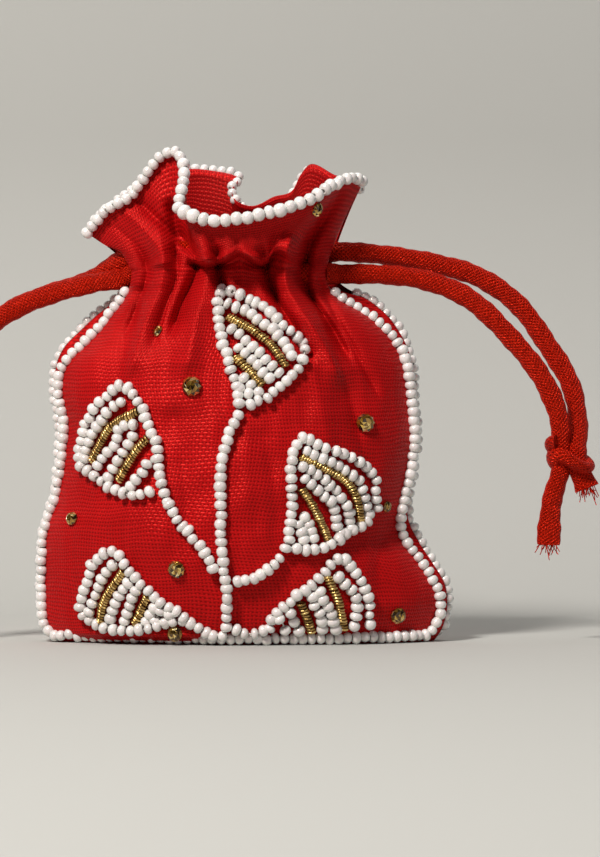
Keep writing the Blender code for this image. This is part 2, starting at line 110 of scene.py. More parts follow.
# ---------------------------------------------------------------- folds pressed into the cloth
# depth (+ in, - out), width, then the fold's line (x, z) upwards over the front panel.
FRONT_FOLDS = [
    (4.0, 1.2, [(-14.8, 60.0), (-12.4, 68.0), (-9.9, 73.6), (-9.2, 76.8), (-11.2, 80.0), (-13.6, 84.0), (-14.4, 88.0)]),
    (3.8, 1.6, [(-11.2, 77.6), (-11.8, 79.8), (-15.2, 83.2), (-21.6, 89.6), (-23.0, 92.0)]),
    (3.4, 0.8, [(-3.0, 67.6), (-4.2, 71.2), (-4.9, 74.0), (-5.0, 78.0)]),
    (4.2, 1.0, [(14.6, 55.0), (10.0, 63.4), (6.9, 68.6), (5.3, 72.6), (4.2, 76.6), (3.8, 78.4)]),
    (4.4, 1.0, [(22.4, 55.0), (17.4, 64.0), (12.9, 71.0), (12.2, 74.0), (12.6, 78.0), (13.2, 81.0)]),
    (4.6, 1.7, [(12.4, 78.0), (14.4, 82.0), (17.2, 86.4), (19.4, 91.0), (20.0, 94.0)]),
    (-2.6, 2.4, [(20.6, 50.0), (16.0, 60.0), (11.6, 66.6), (8.8, 71.6), (8.4, 76.0), (9.4, 80.4)]),
    (-2.0, 2.4, [(-11.6, 52.0), (-9.4, 64.0), (-7.6, 71.0), (-7.2, 77.0)]),
    (-2.0, 2.2, [(-23.0, 52.0), (-19.6, 64.0), (-16.4, 72.0), (-16.0, 77.0), (-19.0, 82.0), (-24.0, 87.0)]),
    (2.0, 1.0, [(-18.4, 58.0), (-15.8, 67.0), (-13.4, 74.0), (-13.9, 79.0)]),
    (1.8, 1.0, [(-24.4, 60.0), (-21.0, 69.0), (-19.4, 75.0), (-21.0, 79.0), (-26.0, 84.0)]),
    (-1.2, 1.4, [(-1.2, 66.0), (-0.4, 70.0), (0.0, 77.0)]),
    (1.4, 1.1, [(28.0, 48.0), (22.8, 58.0), (18.4, 66.0), (15.2, 73.0)]),
    (1.2, 2.0, [(25.4, 32.0), (23.2, 42.0), (20.6, 52.0), (17.2, 63.0)]),
    (-1.2, 3.0, [(17.0, 36.0), (16.0, 46.0), (13.6, 57.0)]),
    (0.9, 2.4, [(-27.0, 46.0), (-24.0, 56.0), (-21.6, 67.0)]),
    (0.8, 2.6, [(-11.0, 20.0), (-11.8, 34.0), (-13.4, 46.0)]),
    (0.8, 2.4, [(7.4, 20.0), (6.2, 32.0), (4.0, 42.0)]),
    (0.7, 2.2, [(30.0, 6.0), (27.0, 14.0), (28.4, 22.0)]),
]
# Share across the front panel, then how far the lip stands out over the neck, and the height of
# its lower edge.
LIP = np.array([
    (-1.00, 0.0, 78.6), (-0.60, 0.0, 78.0), (-0.44, 0.6, 77.4), (-0.34, 4.4, 76.5),
    (-0.22, 6.2, 76.2), (-0.06, 6.0, 76.6), (0.05, 4.4, 78.0), (0.11, 3.4, 79.4),
    (0.16, 4.2, 78.2), (0.27, 6.2, 76.6), (0.38, 6.0, 76.5), (0.47, 3.4, 80.2),
    (0.56, 1.8, 81.4), (0.68, 0.4, 80.0), (1.00, 0.0, 79.0),
])

# ---------------------------------------------------------------- the beaded branch
# Route (x, z) over the front panel of every strand, by CAD node.
LEAVES = {
    "leaf_top": {
        "outline": [(-0.8, 47.9), (-1.0, 50.4), (-2.0, 53.6), (-3.0, 57.2), (-4.4, 61.6),
                    (-5.2, 66.0), (-5.4, 69.0), (-4.2, 70.4), (0.4, 68.8), (4.8, 66.3),
                    (8.0, 62.8), (10.6, 60.6), (12.0, 56.8), (11.0, 54.8), (8.0, 51.8),
                    (4.6, 49.0), (1.6, 47.6)],
        "outer_row": [(-2.8, 67.6), (-0.6, 66.8), (2.0, 65.2), (5.6, 62.4), (8.0, 59.8),
                      (9.8, 57.2)],
        "gold_upper": [(-2.8, 65.0), (2.2, 62.2), (5.8, 59.2), (8.4, 55.4)],
        "row_upper": [(-2.2, 62.6), (0.8, 60.2), (3.6, 57.6), (7.2, 54.0)],
        "row_lower": [(-0.8, 58.8), (2.2, 56.0), (5.4, 53.0)],
        "gold_lower": [(-1.4, 57.0), (1.2, 54.4), (3.8, 51.6)],
        "tip_fill": [(0.2, 53.0), (2.8, 50.8), (-0.2, 50.8)],
    },
    "leaf_left": {
        "outline": [(-14.8, 28.6), (-15.6, 30.4), (-16.0, 32.6), (-16.4, 36.6), (-17.0, 40.6),
                    (-18.0, 42.8), (-19.0, 45.0), (-19.6, 47.4), (-21.2, 49.4), (-22.8, 51.4),
                    (-25.8, 50.6), (-27.2, 49.2), (-29.2, 47.0), (-30.2, 45.0), (-31.0, 43.6),
                    (-31.6, 41.0), (-32.4, 37.8), (-31.8, 35.4), (-30.0, 34.2), (-27.2, 32.0),
                    (-24.2, 30.4), (-20.2, 29.6), (-18.2, 30.6)],
        "outer_row": [(-23.8, 48.2), (-26.2, 46.8), (-28.0, 44.4), (-29.8, 41.4), (-31.2, 37.0)],
        "gold_upper": [(-20.6, 46.4), (-25.4, 43.8), (-27.4, 41.0), (-29.6, 36.6)],
        "row_upper": [(-21.4, 43.8), (-23.8, 43.6), (-24.6, 41.0), (-26.6, 38.0), (-28.2, 35.4)],
        "row_middle": [(-21.4, 41.4), (-23.0, 38.0), (-25.0, 35.4), (-26.2, 33.2)],
        "gold_lower": [(-18.8, 40.8), (-21.2, 37.6), (-24.0, 32.8)],
        "row_lower": [(-18.8, 36.0), (-19.6, 34.0), (-20.8, 32.6), (-22.0, 31.6)],
    },
    "leaf_right": {
        "outline": [(8.4, 19.4), (9.0, 21.4), (9.2, 25.6), (9.6, 29.6), (9.2, 34.2), (9.8, 37.6),
                    (10.4, 39.8), (12.4, 41.4), (14.4, 40.0), (18.2, 38.8), (20.2, 37.8),
                    (22.4, 36.6), (24.0, 35.2), (25.6, 33.6), (26.0, 30.0), (26.2, 27.4)],
        "outer_row": [(12.4, 38.6), (16.2, 37.2), (20.2, 34.8), (22.4, 33.0), (23.4, 30.8),
                      (24.2, 27.6), (24.8, 25.4), (23.4, 24.0), (19.8, 21.8), (16.6, 19.6),
                      (12.6, 18.8), (10.6, 19.0)],
        "gold_upper": [(11.4, 37.4), (16.8, 34.8), (20.4, 32.4), (22.2, 29.0), (23.0, 24.6)],
        "row_upper": [(11.6, 35.6), (15.0, 33.6), (18.4, 30.6), (20.4, 27.2), (21.2, 23.2)],
        "row_middle": [(12.0, 33.2), (15.8, 29.6), (17.4, 28.6), (18.0, 24.8), (19.2, 22.2)],
        "gold_lower": [(11.4, 31.0), (13.6, 27.8), (16.6, 20.8)],
        "row_lower": [(12.0, 25.6), (12.8, 23.8), (13.8, 21.2)],
    },
    "leaf_low_left": {
        "outline": [(-10.2, 4.8), (-12.6, 6.8), (-15.8, 8.6), (-18.6, 11.2), (-21.0, 13.8),
                    (-23.6, 17.2), (-25.0, 18.8), (-27.4, 18.2), (-29.2, 16.6), (-30.4, 13.2),
                    (-31.6, 10.2), (-32.0, 6.6), (-30.8, 5.0), (-27.8, 3.4), (-23.4, 2.7),
                    (-19.6, 2.9), (-16.2, 3.6), (-13.8, 5.2)],
        "outer_row": [(-25.4, 16.0), (-27.6, 13.2), (-29.0, 9.8), (-30.2, 6.6)],
        "gold_upper": [(-23.4, 14.8), (-25.8, 11.2), (-27.6, 7.6), (-28.2, 4.6)],
        "row_upper": [(-22.4, 12.6), (-24.4, 10.0), (-25.0, 8.6), (-26.0, 5.4)],
        "row_middle": [(-20.8, 11.0), (-22.0, 8.4), (-23.2, 5.0)],
        "gold_lower": [(-18.8, 9.8), (-20.0, 7.0), (-21.4, 4.0)],
        "row_lower": [(-17.2, 7.6), (-18.2, 6.4), (-18.8, 4.8)],
    },
    "leaf_low_right": {
        "outline": [(5.0, 3.9), (6.4, 6.4), (9.6, 9.2), (13.4, 12.0), (16.6, 15.2), (19.2, 17.4),
                    (21.4, 14.6), (23.4, 12.0), (24.8, 8.4), (24.8, 4.4)],
        "outer_row": [(18.6, 13.4), (20.2, 12.0), (21.8, 10.4), (22.2, 6.4), (21.8, 4.2)],
        "gold_upper": [(16.8, 13.4), (18.6, 9.2), (19.9, 3.6)],
        "row_upper": [(15.2, 10.8), (16.8, 8.2), (17.8, 5.8), (18.3, 3.6)],
        "row_middle": [(13.6, 9.8), (15.2, 6.4), (15.9, 3.6)],
        "gold_lower": [(11.4, 8.6), (12.8, 5.6), (13.7, 3.2)],
        "row_lower": [(9.2, 6.8), (10.3, 5.0), (11.2, 3.4)],
    },
}
FILL = {
    "leaf_top_tip_fill": [[(0.2, 53.0), (3.2, 50.0)], [(-0.6, 50.8), (1.2, 49.8)]],
    "leaf_low_left_row_lower": [[(-16.2, 7.2), (-17.0, 5.2)], [(-14.6, 6.6), (-15.4, 5.0)]],
    "leaf_low_right_row_lower": [[(7.4, 5.8), (8.4, 3.6)]],
    "leaf_right_row_lower": [[(10.9, 24.2), (11.8, 21.0)]],
}
STEMS = {
    "stem": [(-0.8, 45.6), (-2.6, 42.8), (-3.0, 39.6), (-4.0, 35.4), (-4.2, 30.0), (-4.2, 24.0),
             (-3.8, 18.0), (-3.2, 13.0), (-3.0, 8.4), (-3.1, 4.2)],
    "branch_left": [(-14.6, 28.0), (-13.6, 26.2), (-12.8, 24.2), (-10.8, 22.8), (-9.4, 21.0),
                    (-6.8, 17.8), (-5.8, 15.6)],
    "branch_right": [(-1.0, 13.0), (0.8, 13.4), (2.8, 14.0), (5.8, 16.0), (7.4, 17.4)],
    "branch_low_left": [(-11.6, 5.4), (-9.6, 4.0), (-6.4, 2.7), (-4.0, 2.5)],
}
STEM_FOOT = [(-1.4, 3.4), (1.2, 2.7), (4.0, 3.2)]

# Stones: x, z, radius and stretch across.
STONES = {
    "stone_shoulder": (-16.8, 62.4, 1.3, 0.7), "stone_centre": (-10.0, 51.4, 2.0, 1.0),
    "stone_right": (24.4, 44.2, 1.9, 1.0), "stone_left": (-34.2, 25.0, 1.4, 1.0),
    "stone_middle": (-13.0, 15.2, 1.8, 1.0), "stone_side": (28.7, 27.4, 1.2, 0.9),
    "stone_low": (-13.4, 2.3, 1.6, 1.0), "stone_corner": (31.0, 5.6, 1.7, 1.0),
}

# ---------------------------------------------------------------- drawstrings (as in the model)
RIGHT_LOWER = [
    (16.0, -3.2, 74.4), (19.6, -0.5, 74.4), (27.0, -1.6, 74.3), (36.0, -3.0, 73.2),
    (45.0, -4.0, 69.6), (54.0, -4.6, 61.2), (60.6, -4.6, 52.6), (63.8, -3.8, 44.6),
    (64.2, -3.2, 38.8),
]
RIGHT_UPPER = [
    (16.0, 3.2, 79.0), (19.6, 0.5, 79.0), (28.0, 1.4, 78.4), (38.0, 2.2, 76.8),
    (47.6, 2.4, 74.0), (55.6, 2.0, 68.4), (61.6, 1.2, 60.2), (66.4, 0.4, 51.8),
    (67.8, -0.8, 43.6), (67.4, -2.4, 38.8),
]
RIGHT_LONG_TAIL = [(64.1, -3.1, 35.0), (62.4, -3.2, 29.0), (61.8, -3.0, 24.0), (61.6, -3.0, 19.6)]
RIGHT_SHORT_TAIL = [(67.5, -2.5, 35.0), (68.6, -2.4, 33.0), (69.4, -2.6, 31.0)]
LEFT_LOWER = [
    (-19.4, -3.0, 77.4), (-23.6, -0.3, 73.9), (-30.0, -1.5, 72.6), (-38.0, -2.0, 70.6), (-46.0, -2.6, 67.4),
    (-53.0, -3.0, 62.4), (-58.0, -3.0, 54.6), (-59.6, -2.8, 46.0), (-59.5, -2.6, 38.8),
]
LEFT_UPPER = [
    (-19.4, 3.0, 75.2), (-23.6, 0.3, 77.6), (-27.2, 1.7, 75.8), (-31.0, 2.3, 73.4), (-38.0, 2.4, 71.0),
    (-46.0, 2.0, 67.8), (-53.0, 1.8, 62.8), (-58.4, 1.4, 55.0), (-61.4, 0.4, 46.6), (-62.8, -1.9, 38.8),
]
LEFT_LONG_TAIL = [(-59.6, -2.6, 35.0), (-60.6, -2.6, 29.0), (-61.0, -2.8, 24.0), (-61.2, -3.0, 19.6)]
LEFT_SHORT_TAIL = [(-62.9, -1.9, 35.0), (-64.6, -1.8, 33.0), (-65.4, -2.2, 31.0)]


# ================================================================ curves and surfaces
def spline(table, t):
    """Smooth curve through a table's rows, whose first column is the place along it.

    Cubic Hermite: each row's slope is the mean of the slopes to its two neighbours.
    """
    table = np.asarray(table, float)
    knots, rows = table[:, 0], table[:, 1:]
    t = np.clip(np.asarray(t, float), knots[0], knots[-1])
    steps = np.diff(knots)[:, None]
    chords = np.diff(rows, axis=0) / steps
    slopes = np.vstack([chords[:1], (chords[1:] + chords[:-1]) / 2, chords[-1:]])
    i = np.clip(np.searchsorted(knots, t, side="right") - 1, 0, len(knots) - 2)
    h = (knots[i + 1] - knots[i])[..., None]
    s = (t[..., None] - knots[i][..., None]) / h
    return ((2 * s ** 3 - 3 * s ** 2 + 1) * rows[i] + (s ** 3 - 2 * s ** 2 + s) * h * slopes[i]
            + (3 * s ** 2 - 2 * s ** 3) * rows[i + 1] + (s ** 3 - s ** 2) * h * slopes[i + 1])


def even_route(points, step):
    """Points one step apart along the smooth curve through a route's own points."""
    points = np.asarray(points, float)
    chord = np.linalg.norm(np.diff(points, axis=0), axis=1)
    knots = np.concatenate([[0.0], np.cumsum(np.maximum(chord, 1e-6))])
    table = np.column_stack([knots, points])
    fine = spline(table, np.linspace(0.0, knots[-1], max(int(knots[-1] / 0.05), 40)))
    run = np.concatenate([[0.0], np.cumsum(np.linalg.norm(np.diff(fine, axis=0), axis=1))])
    count = max(int(round(run[-1] / step)), 1)
    places = np.linspace(0.0, run[-1], count + 1)
    return np.column_stack([np.interp(places, run, fine[:, k]) for k in range(fine.shape[1])])


def smoothstep(low, high, value):
    """0 below low, 1 above high, and a smooth S between them."""
    s = np.clip((value - low) / (high - low), 0.0, 1.0)
    return s * s * (3 - 2 * s)


def soft_noise(x, y, seed, scale):
    """Slow waves: the sum of six sine sheets of random direction, about -1 to 1."""
    rng = np.random.default_rng(seed)
    total = np.zeros(np.broadcast(x, y).shape)
    for _ in range(6):
        angle, phase, size = rng.uniform(0, 2 * np.pi), rng.uniform(0, 2 * np.pi), rng.uniform(0.7, 1.5)
        total += np.sin((x * np.cos(angle) + y * np.sin(angle)) * 2 * np.pi * size / scale + phase)
    return total / 3.2


def fold_depth(x, z, folds):
    """Pressed folds: each is a bell across its line, faded out at both of its ends."""
    total = np.zeros(np.broadcast(x, z).shape)
    for depth, width, line in folds:
        line = np.asarray(line, float)
        middle = spline(line[:, ::-1], z)[..., 0]
        fade = smoothstep(line[0, 1], line[0, 1] + 5.0, z) * smoothstep(line[-1, 1] + 2.0, line[-1, 1] - 1.0, z)
        total += depth * fade * np.exp(-np.abs((x - middle) / width) ** 1.35)
    return total


def slot_half(z):
    """Seam plane to a panel's edge: 0.9 where sewn, 3 where the cords come out."""
    return 0.9 + 2.1 * smoothstep(70.5, 72.5, z) * smoothstep(83.0, 80.0, z)


def belly_depth(u, x, z, front):
    """Depth of a panel: a pinched bulge across it, with soft dents and the neck's gathers.

    Bulge = depth(z) * (1 - u^2)^p, p falling from 0.72 in the belly to 0.48 at the neck.
    """
    depth = spline(DEPTH, z)[..., 0]
    if front:
        depth = depth - 1.8 * smoothstep(66.0, 73.5, z)
        depth = depth + 2.6 * smoothstep(5.0, 1.0, z) * low_left(x)
    pinch = 0.72 - 0.24 * smoothstep(58.0, 74.0, z)
    edge = slot_half(z)
    bulge = np.maximum(1.0 - u * u, 0.0) ** pinch
    y = edge + (depth - edge) * bulge
    free = bulge ** 0.5
    y = y + 0.4 * soft_noise(x, z, 3 if front else 4, 26.0) * free
    y = y + 0.16 * soft_noise(x * 1.4, z * 0.6, 9 if front else 10, 7.0) * free
    if front:
        y = y - fold_depth(x, z, FRONT_FOLDS) * np.minimum(free * 1.5, 1.0)
    gather = smoothstep(56.0, 75.0, z) ** 2
    waves = np.sin(u * 21.0 + (0.6 if front else 2.1)) * 0.55 + np.sin(u * 33.0 + 1.3) * 0.35
    return y + (0.3 if front else 1.1) * gather * waves * free


def low_left(x):
    """1 over the lower left of the front, where the belly sags over its seam."""
    return smoothstep(-37.0, -31.0, x) * smoothstep(-6.0, -11.0, x)


def panel_point(u, height, front):
    """Point of a panel at share u across it and cloth height: body, then ruffle.

    Body: x runs between the outline's edges and y is the belly's depth. Ruffle: a smooth
    curve up from the neck, over the lip's lower edge, a swelling and a flare, to the rim.
    """
    side = -1.0 if front else 1.0
    outline = FRONT_OUTLINE if front else BACK_OUTLINE
    z = np.minimum(height, NECK_Z)
    edges = spline(outline, z)
    left, right = edges[..., 0], edges[..., 1]
    x = (left + right) / 2 + u * (right - left) / 2
    y = side * belly_depth(u, x, z, front)
    body = np.stack([x, y, z], axis=-1)

    v = np.clip((height - NECK_Z) / (TOP_V - NECK_Z), 0.0, 1.0)
    rim = spline(FRONT_RIM if front else BACK_RIM, u)
    free = (1.0 - u ** 4)
    if front:
        stand, low = np.moveaxis(spline(LIP, u), -1, 0)
        lip = np.clip(stand / 6.2, 0.0, 1.0)
    else:
        stand, low, lip = np.full_like(u, 0.8), np.full_like(u, 77.0), np.zeros_like(u)
    out = np.stack([np.zeros_like(u), np.full_like(u, side), np.zeros_like(u)], axis=-1)

    def towards(share_x, share_y, share_z, bulge):
        """A point part of the way from the neck to the rim, pushed out by a bulge."""
        way = rim - body
        return body + way * np.array([share_x, share_y, share_z]) + out * (bulge * free)[..., None]

    crease = towards(0.03, 0.0, 0.05, -1.2 * lip + 0.1)
    crease[..., 2] = np.maximum(body[..., 2] + 0.5, low - 0.7) * lip + crease[..., 2] * (1 - lip)
    ledge = towards(0.07, 0.16, 0.14, stand)
    ledge[..., 2] = low * lip + ledge[..., 2] * (1 - lip)
    swell = towards(0.24, 0.44, 0.34, stand * 0.4 + 1.0)
    swell[..., 2] = np.maximum(swell[..., 2], low + 1.6 * lip)
    flare = towards(0.60, 0.76, 0.68, stand * 0.12 + 0.5)
    ruffle = through((body, crease, ledge, swell, flare, rim), (0.0, 0.07, 0.2, 0.4, 0.7, 1.0), v)
    if front:
        shade = fold_depth(ruffle[..., 0], ruffle[..., 2], FRONT_FOLDS) * (1 - 0.6 * v ** 3)
        ruffle = ruffle - out * (shade * smoothstep(0.0, 0.1, v) * free)[..., None]
    else:
        waves = 1.4 * np.sin(u * 9.0 + 0.4) + 0.6 * np.sin(u * 17.0)
        ruffle = ruffle + out * (waves * np.sin(np.pi * v) * free)[..., None]
    return np.where(height[..., None] <= NECK_Z, body, ruffle)


def through(points, knots, v):
    """Smooth curve through points at knots: cubic Hermite with the mean of the side slopes."""
    chords = [(b - a) / (kb - ka) for a, b, ka, kb in zip(points, points[1:], knots, knots[1:])]
    slopes = [chords[0]] + [(a + b) / 2 for a, b in zip(chords, chords[1:])] + [chords[-1]]
    total = points[0]
    for i, (low, high) in enumerate(zip(knots, knots[1:])):
        h = high - low
        s = np.clip((v - low) / h, 0.0, 1.0)[..., None]
        piece = ((2 * s ** 3 - 3 * s ** 2 + 1) * points[i] + (s ** 3 - 2 * s ** 2 + s) * h * slopes[i]
                 + (3 * s ** 2 - 2 * s ** 3) * points[i + 1] + (s ** 3 - s ** 2) * h * slopes[i + 1])
        total = np.where((v > low)[..., None], piece, total)
    return total


def front_point(x, z):
    """Point on the front panel's body at (x, z), for what is sewn or glued to it."""
    edges = spline(FRONT_OUTLINE, z)
    u = np.clip((2 * x - edges[..., 0] - edges[..., 1]) / (edges[..., 1] - edges[..., 0]), -1, 1)
    return np.stack([x, -belly_depth(u, x, z, True), z], axis=-1)


def front_frame(x, z):
    """Surface point and outward normal of the front panel, from differences over 1.2 mm."""
    step = 0.6
    across = front_point(x + step, z) - front_point(x - step, z)
    up = front_point(x, z + step) - front_point(x, np.maximum(z - step, 0.0))
    normal = np.cross(across, up)
    normal /= np.linalg.norm(normal, axis=-1, keepdims=True)
    return front_point(x, z), normal


# ================================================================ meshes
def make_mesh(name, points, quads, uv=None, attributes=None, tris=None):
    """A smooth mesh piece from arrays in millimetres; UVs are per point and in millimetres."""
    points = (np.asarray(points, float).reshape(-1, 3) + FRAME_SHIFT) * MM
    quads = np.asarray(quads, np.int32).reshape(-1, 4)
    tris = np.zeros((0, 3), np.int32) if tris is None else np.asarray(tris, np.int32).reshape(-1, 3)
    corners = np.concatenate([quads.ravel(), tris.ravel()])
    sizes = np.concatenate([np.full(len(quads), 4), np.full(len(tris), 3)]).astype(np.int32)
    mesh = bpy.data.meshes.new(name)
    mesh.vertices.add(len(points))
    mesh.vertices.foreach_set("co", points.astype(np.float32).ravel())
    mesh.loops.add(len(corners))
    mesh.loops.foreach_set("vertex_index", corners)
    mesh.polygons.add(len(sizes))
    mesh.polygons.foreach_set("loop_start", np.concatenate([[0], np.cumsum(sizes)[:-1]]).astype(np.int32))
    mesh.polygons.foreach_set("loop_total", sizes)
    mesh.polygons.foreach_set("use_smooth", np.ones(len(sizes), bool))
    mesh.update(calc_edges=True)
    mesh.validate()
    if uv is not None:
        layer = mesh.uv_layers.new(name="UVMap")
        layer.data.foreach_set("uv", np.asarray(uv, np.float32).reshape(-1, 2)[corners].ravel())
    for key, values in (attributes or {}).items():
        layer = mesh.attributes.new(key, "FLOAT", "POINT")
        layer.data.foreach_set("value", np.asarray(values, np.float32).ravel())
    obj = bpy.data.objects.new(name, mesh)
    bpy.context.scene.collection.objects.link(obj)
    return obj


def grid_quads(rows, columns, wrap=False, flip=False):
    """Quads of a grid of points, row by row; wrap joins the last column to the first."""
    index = np.arange(rows * columns).reshape(rows, columns)
    right = np.roll(index, -1, axis=1)
    keep = columns if wrap else columns - 1
    quads = np.stack([index[:-1], right[:-1], right[1:], index[1:]], axis=-1)[:, :keep].reshape(-1, 4)
    return quads[:, ::-1] if flip else quads


def path_frames(path):
    """Tangent and two normals at each point of a path, the first carried along it untwisted."""
    tangents = np.gradient(path, axis=0)
    tangents /= np.linalg.norm(tangents, axis=1, keepdims=True)
    normal = np.cross(tangents[0], [0.0, 1.0, 0.0])
    if np.linalg.norm(normal) < 0.1:
        normal = np.cross(tangents[0], [1.0, 0.0, 0.0])
    normals = np.empty_like(path)
    for i, tangent in enumerate(tangents):
        normal = normal - tangent * normal.dot(tangent)
        normal = normal / np.linalg.norm(normal)
        normals[i] = normal
    return tangents, normals, np.cross(tangents, normals)


def oval_tube(path, half_wide, half_thick, turn, sides):
    """A tube of oval section along a path, closed at both ends by a point.

    Each section is half_wide * cos(a) across and half_thick * sin(a) deep, turned by turn.
    """
    _, across, deep = path_frames(path)
    angle = np.linspace(0, 2 * np.pi, sides, endpoint=False)
    cos_turn, sin_turn = np.cos(turn)[:, None], np.sin(turn)[:, None]
    wide = np.atleast_1d(half_wide)[:, None] * np.cos(angle)
    thick = np.atleast_1d(half_thick)[:, None] * np.sin(angle)
    a = wide * cos_turn - thick * sin_turn
    b = wide * sin_turn + thick * cos_turn
    ring = path[:, None] + a[..., None] * across[:, None] + b[..., None] * deep[:, None]
    quads = grid_quads(len(path), sides, wrap=True, flip=True)
    points = np.concatenate([ring.reshape(-1, 3), path[:1], path[-1:]])
    index = np.arange(sides)
    last = (len(path) - 1) * sides
    end = len(path) * sides
    tris = np.concatenate([
        np.stack([np.full(sides, end), np.roll(index, -1), index], axis=1),
        np.stack([np.full(sides, end + 1), last + index, last + np.roll(index, -1)], axis=1),
    ])
    return points, quads, tris


def tube_uv(path, sides, girth):
    """UVs in millimetres: round the tube, then along it, with the two end points last."""
    run = np.concatenate([[0.0], np.cumsum(np.linalg.norm(np.diff(path, axis=0), axis=1))])
    around = np.linspace(0, girth, sides, endpoint=False)
    uv = np.stack(np.broadcast_arrays(around[None, :], run[:, None]), axis=-1).reshape(-1, 2)
    return np.concatenate([uv, [[0.0, run[0]], [0.0, run[-1]]]])


# ================================================================ materials
def linear(hex_colour):
    """sRGB hex to the linear numbers that shaders use."""
    value = np.array([int(hex_colour[k:k + 2], 16) for k in (1, 3, 5)]) / 255
    value = np.where(value <= 0.04045, value / 12.92, ((value + 0.055) / 1.055) ** 2.4)
    return (*value.tolist(), 1.0)


def add(tree, kind, inputs=None, **settings):
    """Add a node with its settings, then fill or link its inputs by name or place."""
    node = tree.nodes.new(kind)
    for key, value in settings.items():
        setattr(node, key, value)
    for key, value in (inputs or {}).items():
        if isinstance(value, bpy.types.NodeSocket):
            tree.links.new(value, node.inputs[key])
        else:
            node.inputs[key].default_value = value
    return node


def math(tree, operation, a, b=0.0, c=0.0):
    """One Math node's output."""
    return add(tree, "ShaderNodeMath", {0: a, 1: b, 2: c}, operation=operation).outputs[0]


def blend(tree, share, a, b):
    """Colour a to colour b by share."""
    node = add(tree, "ShaderNodeMix", {0: share, 6: a, 7: b}, data_type="RGBA")
    return node.outputs[2]


def new_material(name):
    material = bpy.data.materials.new(name)
    material.use_nodes = True
    material.node_tree.nodes.clear()
    return material, material.node_tree


def finish_material(material, tree, normal=None, **sockets):
    """Principled shader with the given sockets, to the output."""
    shader = add(tree, "ShaderNodeBsdfPrincipled")
    for key, value in sockets.items():
        socket = shader.inputs[key.replace("_", " ")]
        if isinstance(value, bpy.types.NodeSocket):
            tree.links.new(value, socket)
        else:
            socket.default_value = value
    if normal is not None:
        tree.links.new(normal, shader.inputs["Normal"])
    add(tree, "ShaderNodeOutputMaterial", {0: shader.outputs[0]})
    return material


def uv_in_mm(tree):
    """The piece's own U and V, which are millimetres of cloth."""
    uv = add(tree, "ShaderNodeUVMap", uv_map="UVMap").outputs[0]
    parts = add(tree, "ShaderNodeSeparateXYZ", {0: uv})
    return uv, parts.outputs[0], parts.outputs[1]


def woven_silk(name, light, dark, painted_gap_shade, roughness, sheen):
    """Raw silk, plain weave of slubby yarn: thread ribs in relief, each a little different, with painted shade in the
    hollows between the threads.
    """
    material, tree = new_material(name)
    uv, u, v = uv_in_mm(tree)
    wobble = add(tree, "ShaderNodeTexNoise", {"Vector": uv, "Scale": 0.09, "Detail": 1.0}).outputs[0]
    shift = math(tree, "MULTIPLY", math(tree, "SUBTRACT", wobble, 0.5), 2.4)
    a = math(tree, "DIVIDE", math(tree, "ADD", u, shift), WARP)
    b = math(tree, "DIVIDE", math(tree, "SUBTRACT", v, shift), WEFT)
    warp = math(tree, "COSINE", math(tree, "MULTIPLY", a, 2 * np.pi))
    weft = math(tree, "COSINE", math(tree, "MULTIPLY", b, 2 * np.pi))
    warp = math(tree, "MULTIPLY_ADD", warp, 0.5, 0.5)
    weft = math(tree, "MULTIPLY_ADD", weft, 0.5, 0.5)
    over = math(tree, "MULTIPLY", math(tree, "COSINE", math(tree, "MULTIPLY", a, np.pi)),
                math(tree, "COSINE", math(tree, "MULTIPLY", b, np.pi)))
    warp_top = math(tree, "MULTIPLY", warp, math(tree, "MULTIPLY_ADD", over, 0.5, 0.5))
    weft_top = math(tree, "MULTIPLY", weft, math(tree, "MULTIPLY_ADD", over, -0.4, 0.62))
    relief = math(tree, "MAXIMUM", warp_top, weft_top)

    rows = add(tree, "ShaderNodeCombineXYZ", {0: math(tree, "MULTIPLY", u, 0.03),
                                              1: math(tree, "ROUND", b)}).outputs[0]
    slub = add(tree, "ShaderNodeTexNoise", {"Vector": rows, "Scale": 1.0, "Detail": 1.0}).outputs[0]
    columns = add(tree, "ShaderNodeCombineXYZ", {0: math(tree, "ROUND", a),
                                                 1: math(tree, "MULTIPLY", v, 0.03)}).outputs[0]
    end = add(tree, "ShaderNodeTexNoise", {"Vector": columns, "Scale": 1.0, "Detail": 1.0}).outputs[0]
    broad = add(tree, "ShaderNodeTexNoise", {"Vector": uv, "Scale": 0.06, "Detail": 2.0}).outputs[0]
    share = math(tree, "ADD", math(tree, "MULTIPLY", slub, 0.55), math(tree, "MULTIPLY", end, 0.35))
    share = math(tree, "ADD", share, math(tree, "MULTIPLY_ADD", broad, 0.5, -0.22), 0.0)
    thread = blend(tree, share, linear(dark), linear(light))
    # Painted shade: where the relief is low, between the threads, the colour goes to the dark gap shade.
    depth = math(tree, "MULTIPLY_ADD", relief, 1.9, 0.12)
    depth = add(tree, "ShaderNodeClamp", {0: depth}).outputs[0]
    colour = blend(tree, depth, linear(painted_gap_shade), thread)
    height = math(tree, "ADD", relief, math(tree, "MULTIPLY", slub, 0.5))
    bump = add(tree, "ShaderNodeBump", {"Strength": 1.0, "Distance": 0.00009, "Height": height})
    return finish_material(material, tree, bump.outputs[0], Base_Color=colour, Roughness=roughness,
                           Metallic=0.12, Specular_IOR_Level=0.45,
                           Specular_Tint=linear("#FF6A58"),
                           Sheen_Weight=sheen, Sheen_Roughness=0.4, Sheen_Tint=linear("#FF2018"))


